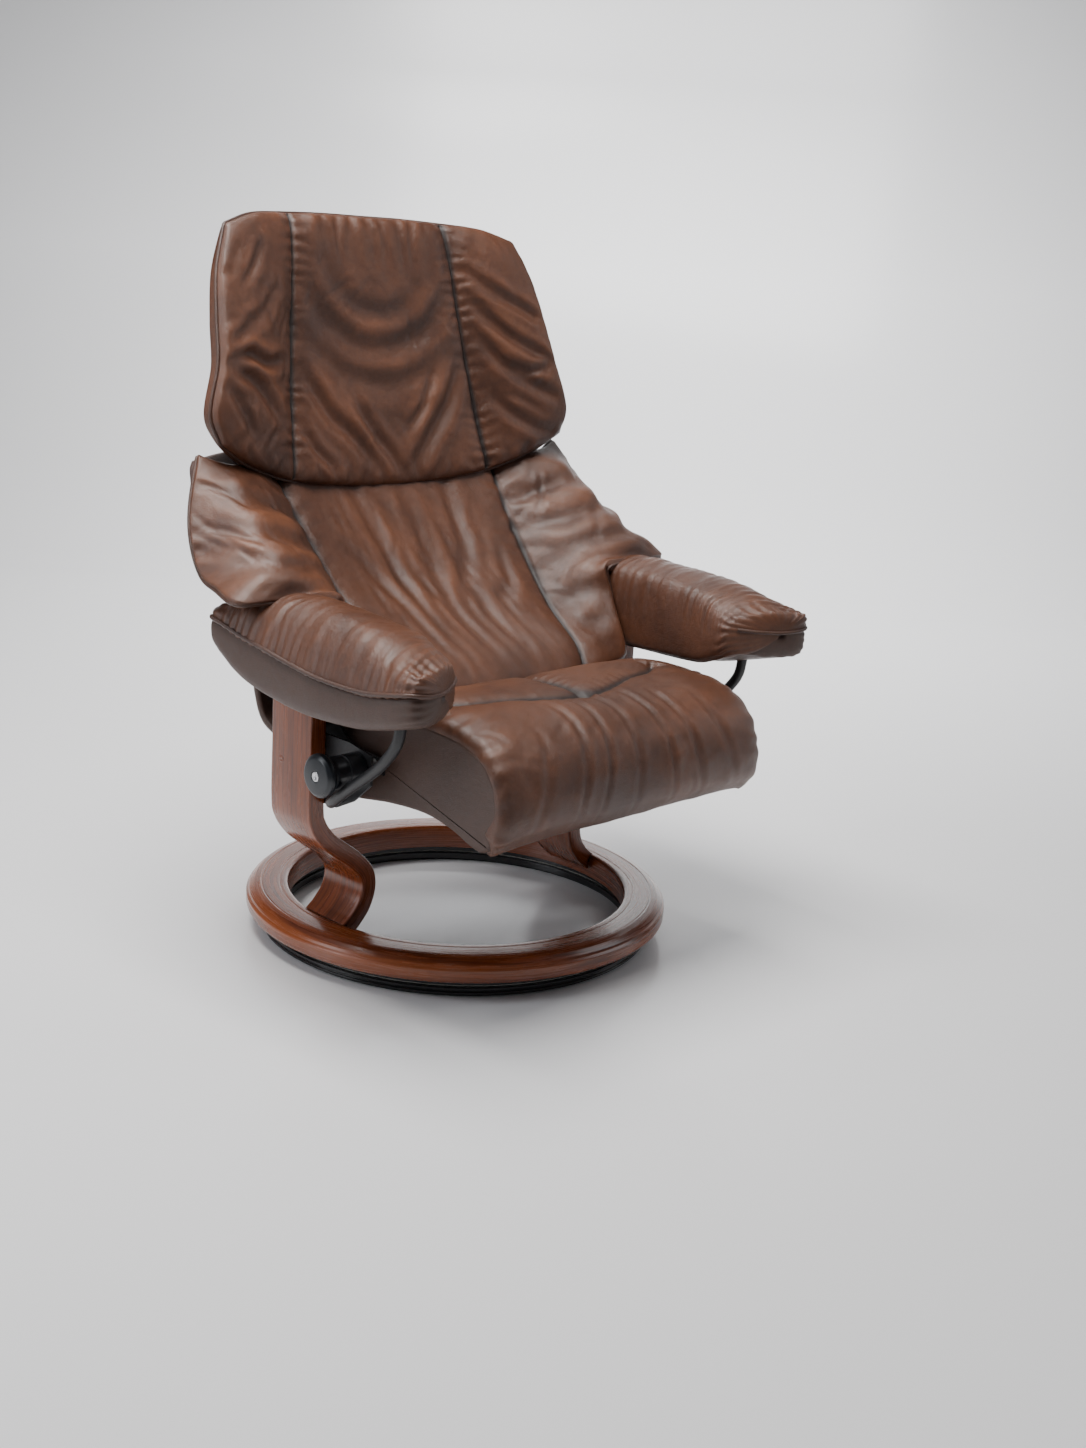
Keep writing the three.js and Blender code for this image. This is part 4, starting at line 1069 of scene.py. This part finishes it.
# %% [markdown]
# ## Handwheels and arm stays
# The handwheel is a satin black knob with a domed face and a plain bright disc at its centre. It
# sits on a short round housing. A bent tube runs from the bracket up to the front of the arm.

# %% Handwheels
for side, word in ((1, "left"), (-1, "right")):
    at = (side, -108, 310)
    wheel = turned(f"knob_{word}", rounded_profile(
        [(4.5, 340.4), (21, 340.4), (27, 343), (28.9, 347.5), (28.6, 352.5), (24, 356.6), (8.2, 358),
         (7.2, 357.2), (7.0, 356.2), (4.5, 356.2)],
        [0, 1, 2, 3, 3, 5, 0.4, 0.3, 0.2, 0], steps=6), knob_plastic, sides=96, axis_x=at)
    dress(wheel, f"handwheel_{word}", [f"handwheel_{word}"])
    cap = turned(f"knob_disc_{word}", rounded_profile(
        [(0.02, 356.3), (6.6, 356.3), (6.6, 357.6), (0.02, 358.0)], [0, 0.3, 0.7, 0]), bright_metal, sides=48,
        axis_x=at)
    dress(cap, f"handwheel_{word}", [f"wheel_cap_{word}"])
    house = turned(f"clamp_collar_{word}", rounded_profile(
        [(4.6, 289), (21.6, 289), (21.6, 314), (20.4, 315), (20.4, 318), (21.6, 319), (21.6, 334),
         (19.6, 339.4), (4.6, 339.4)],
        [0, 1, 0.5, 0.5, 0.5, 0.5, 2, 1, 0]), knob_plastic, sides=64, axis_x=at)
    dress(house, "base", [f"clamp_housing_{word}"])
    stay_line = [(side * x, y, z) for x, y, z in (
        (289, -76, 262), (298, -76, 262), (312, -86, 263), (327, -108, 272), (331, -147, 301),
        (331, -186, 329), (331, -212, 352), (331, -233, 380), (331, -239, 409))]
    stay = from_tree(f"arm_stay_tube_{word}", piping_tree, spline(stay_line, np.linspace(0, 8, 90)),
                     {"Radius": 0.0074, "Sides": 20, "Hide": black_paint})
    dress(stay, "base", [f"arm_stay_{word}"])
print("handwheels and stays made")

# %% [markdown]
# ## Studio
# A pale floor that sweeps up into a backdrop, a large soft light above, and softer ones at the sides.

# %% Floor and backdrop
def studio_finish():
    finish = bpy.data.materials.new("studio sweep")
    finish.use_nodes = True
    tree = finish.node_tree
    shader = tree.nodes["Principled BSDF"]
    place = add_node(tree, "ShaderNodeTexCoord").outputs["Object"]
    height = add_node(tree, "ShaderNodeSeparateXYZ", {"Vector": place}).outputs[2]
    # Painted shade: the sweep's colour runs from pale on the floor to dark grey high on the backdrop, where
    # the light falls off.
    shade = add_node(tree, "ShaderNodeValToRGB", {"Fac": ramp(tree, height, 0.0, 4.2)})
    stops = shade.color_ramp.elements
    stops[0].position, stops[0].color = 0.0, (0.84, 0.84, 0.85, 1)
    stops[1].position, stops[1].color = 1.0, (0.10, 0.10, 0.105, 1)
    middle = stops.new(0.22)
    middle.color = (0.80, 0.80, 0.81, 1)
    upper = stops.new(0.6)
    upper.color = (0.27, 0.27, 0.275, 1)
    tree.links.new(shade.outputs[0], shader.inputs["Base Color"])
    shader.inputs["Roughness"].default_value = 0.22
    shader.inputs["Specular IOR Level"].default_value = 0.45
    return finish


toward = Vector((0.72, 0.694, 0))
across = Vector((0.694, -0.72, 0))
sweep = [(-4.0, 0.0), (2.6, 0.0)] + [(2.6 + 1.6 * math.sin(a), 1.6 - 1.6 * math.cos(a))
                                      for a in np.linspace(0.1, math.pi / 2, 16)] + [(4.2, 5.5)]
points = [toward * d + across * s + Vector((0, 0, h)) for d, h in sweep for s in (-6.0, 6.0)]
floor_mesh = bpy.data.meshes.new("studio_sweep")
floor_mesh.from_pydata([tuple(p) for p in points], [],
                       [(2 * i, 2 * i + 1, 2 * i + 3, 2 * i + 2) for i in range(len(sweep) - 1)])
floor_mesh.materials.append(studio_finish())
floor_mesh.polygons.foreach_set("use_smooth", [True] * len(floor_mesh.polygons))
floor = bpy.data.objects.new("studio_sweep", floor_mesh)
bpy.context.scene.collection.objects.link(floor)


# %% Lights
def soft_light(name, place, aim, size, power, colour=(1, 1, 1)):
    data = bpy.data.lights.new(name, "AREA")
    data.shape, data.size, data.size_y = "RECTANGLE", size[0], size[1]
    data.energy, data.color = power, colour
    lamp = bpy.data.objects.new(name, data)
    lamp.location = place
    lamp.rotation_euler = (Vector(aim) - Vector(place)).to_track_quat("-Z", "Y").to_euler()
    bpy.context.scene.collection.objects.link(lamp)


soft_light("overhead", (-0.5, 0.1, 2.5), (0, 0.1, 0.5), (1.7, 1.1), 96, (1.0, 0.98, 0.96))
soft_light("left_window", (-2.3, 0.9, 1.5), (0, 0, 0.6), (1.1, 1.9), 30, (0.92, 0.95, 1.0))
soft_light("right_window", (2.1, -1.3, 1.7), (0, 0, 0.5), (1.0, 1.9), 12, (0.96, 0.97, 1.0))
soft_light("backdrop_glow", (1.9, 1.2, 2.4), (3.0, 2.6, 0.2), (2.4, 1.6), 130)
world = bpy.data.worlds.new("studio air")
bpy.context.scene.world = world
world.use_nodes = True
world.node_tree.nodes["Background"].inputs["Color"].default_value = (0.78, 0.8, 0.84, 1)
world.node_tree.nodes["Background"].inputs["Strength"].default_value = 0.17

bpy.context.view_layer.update()
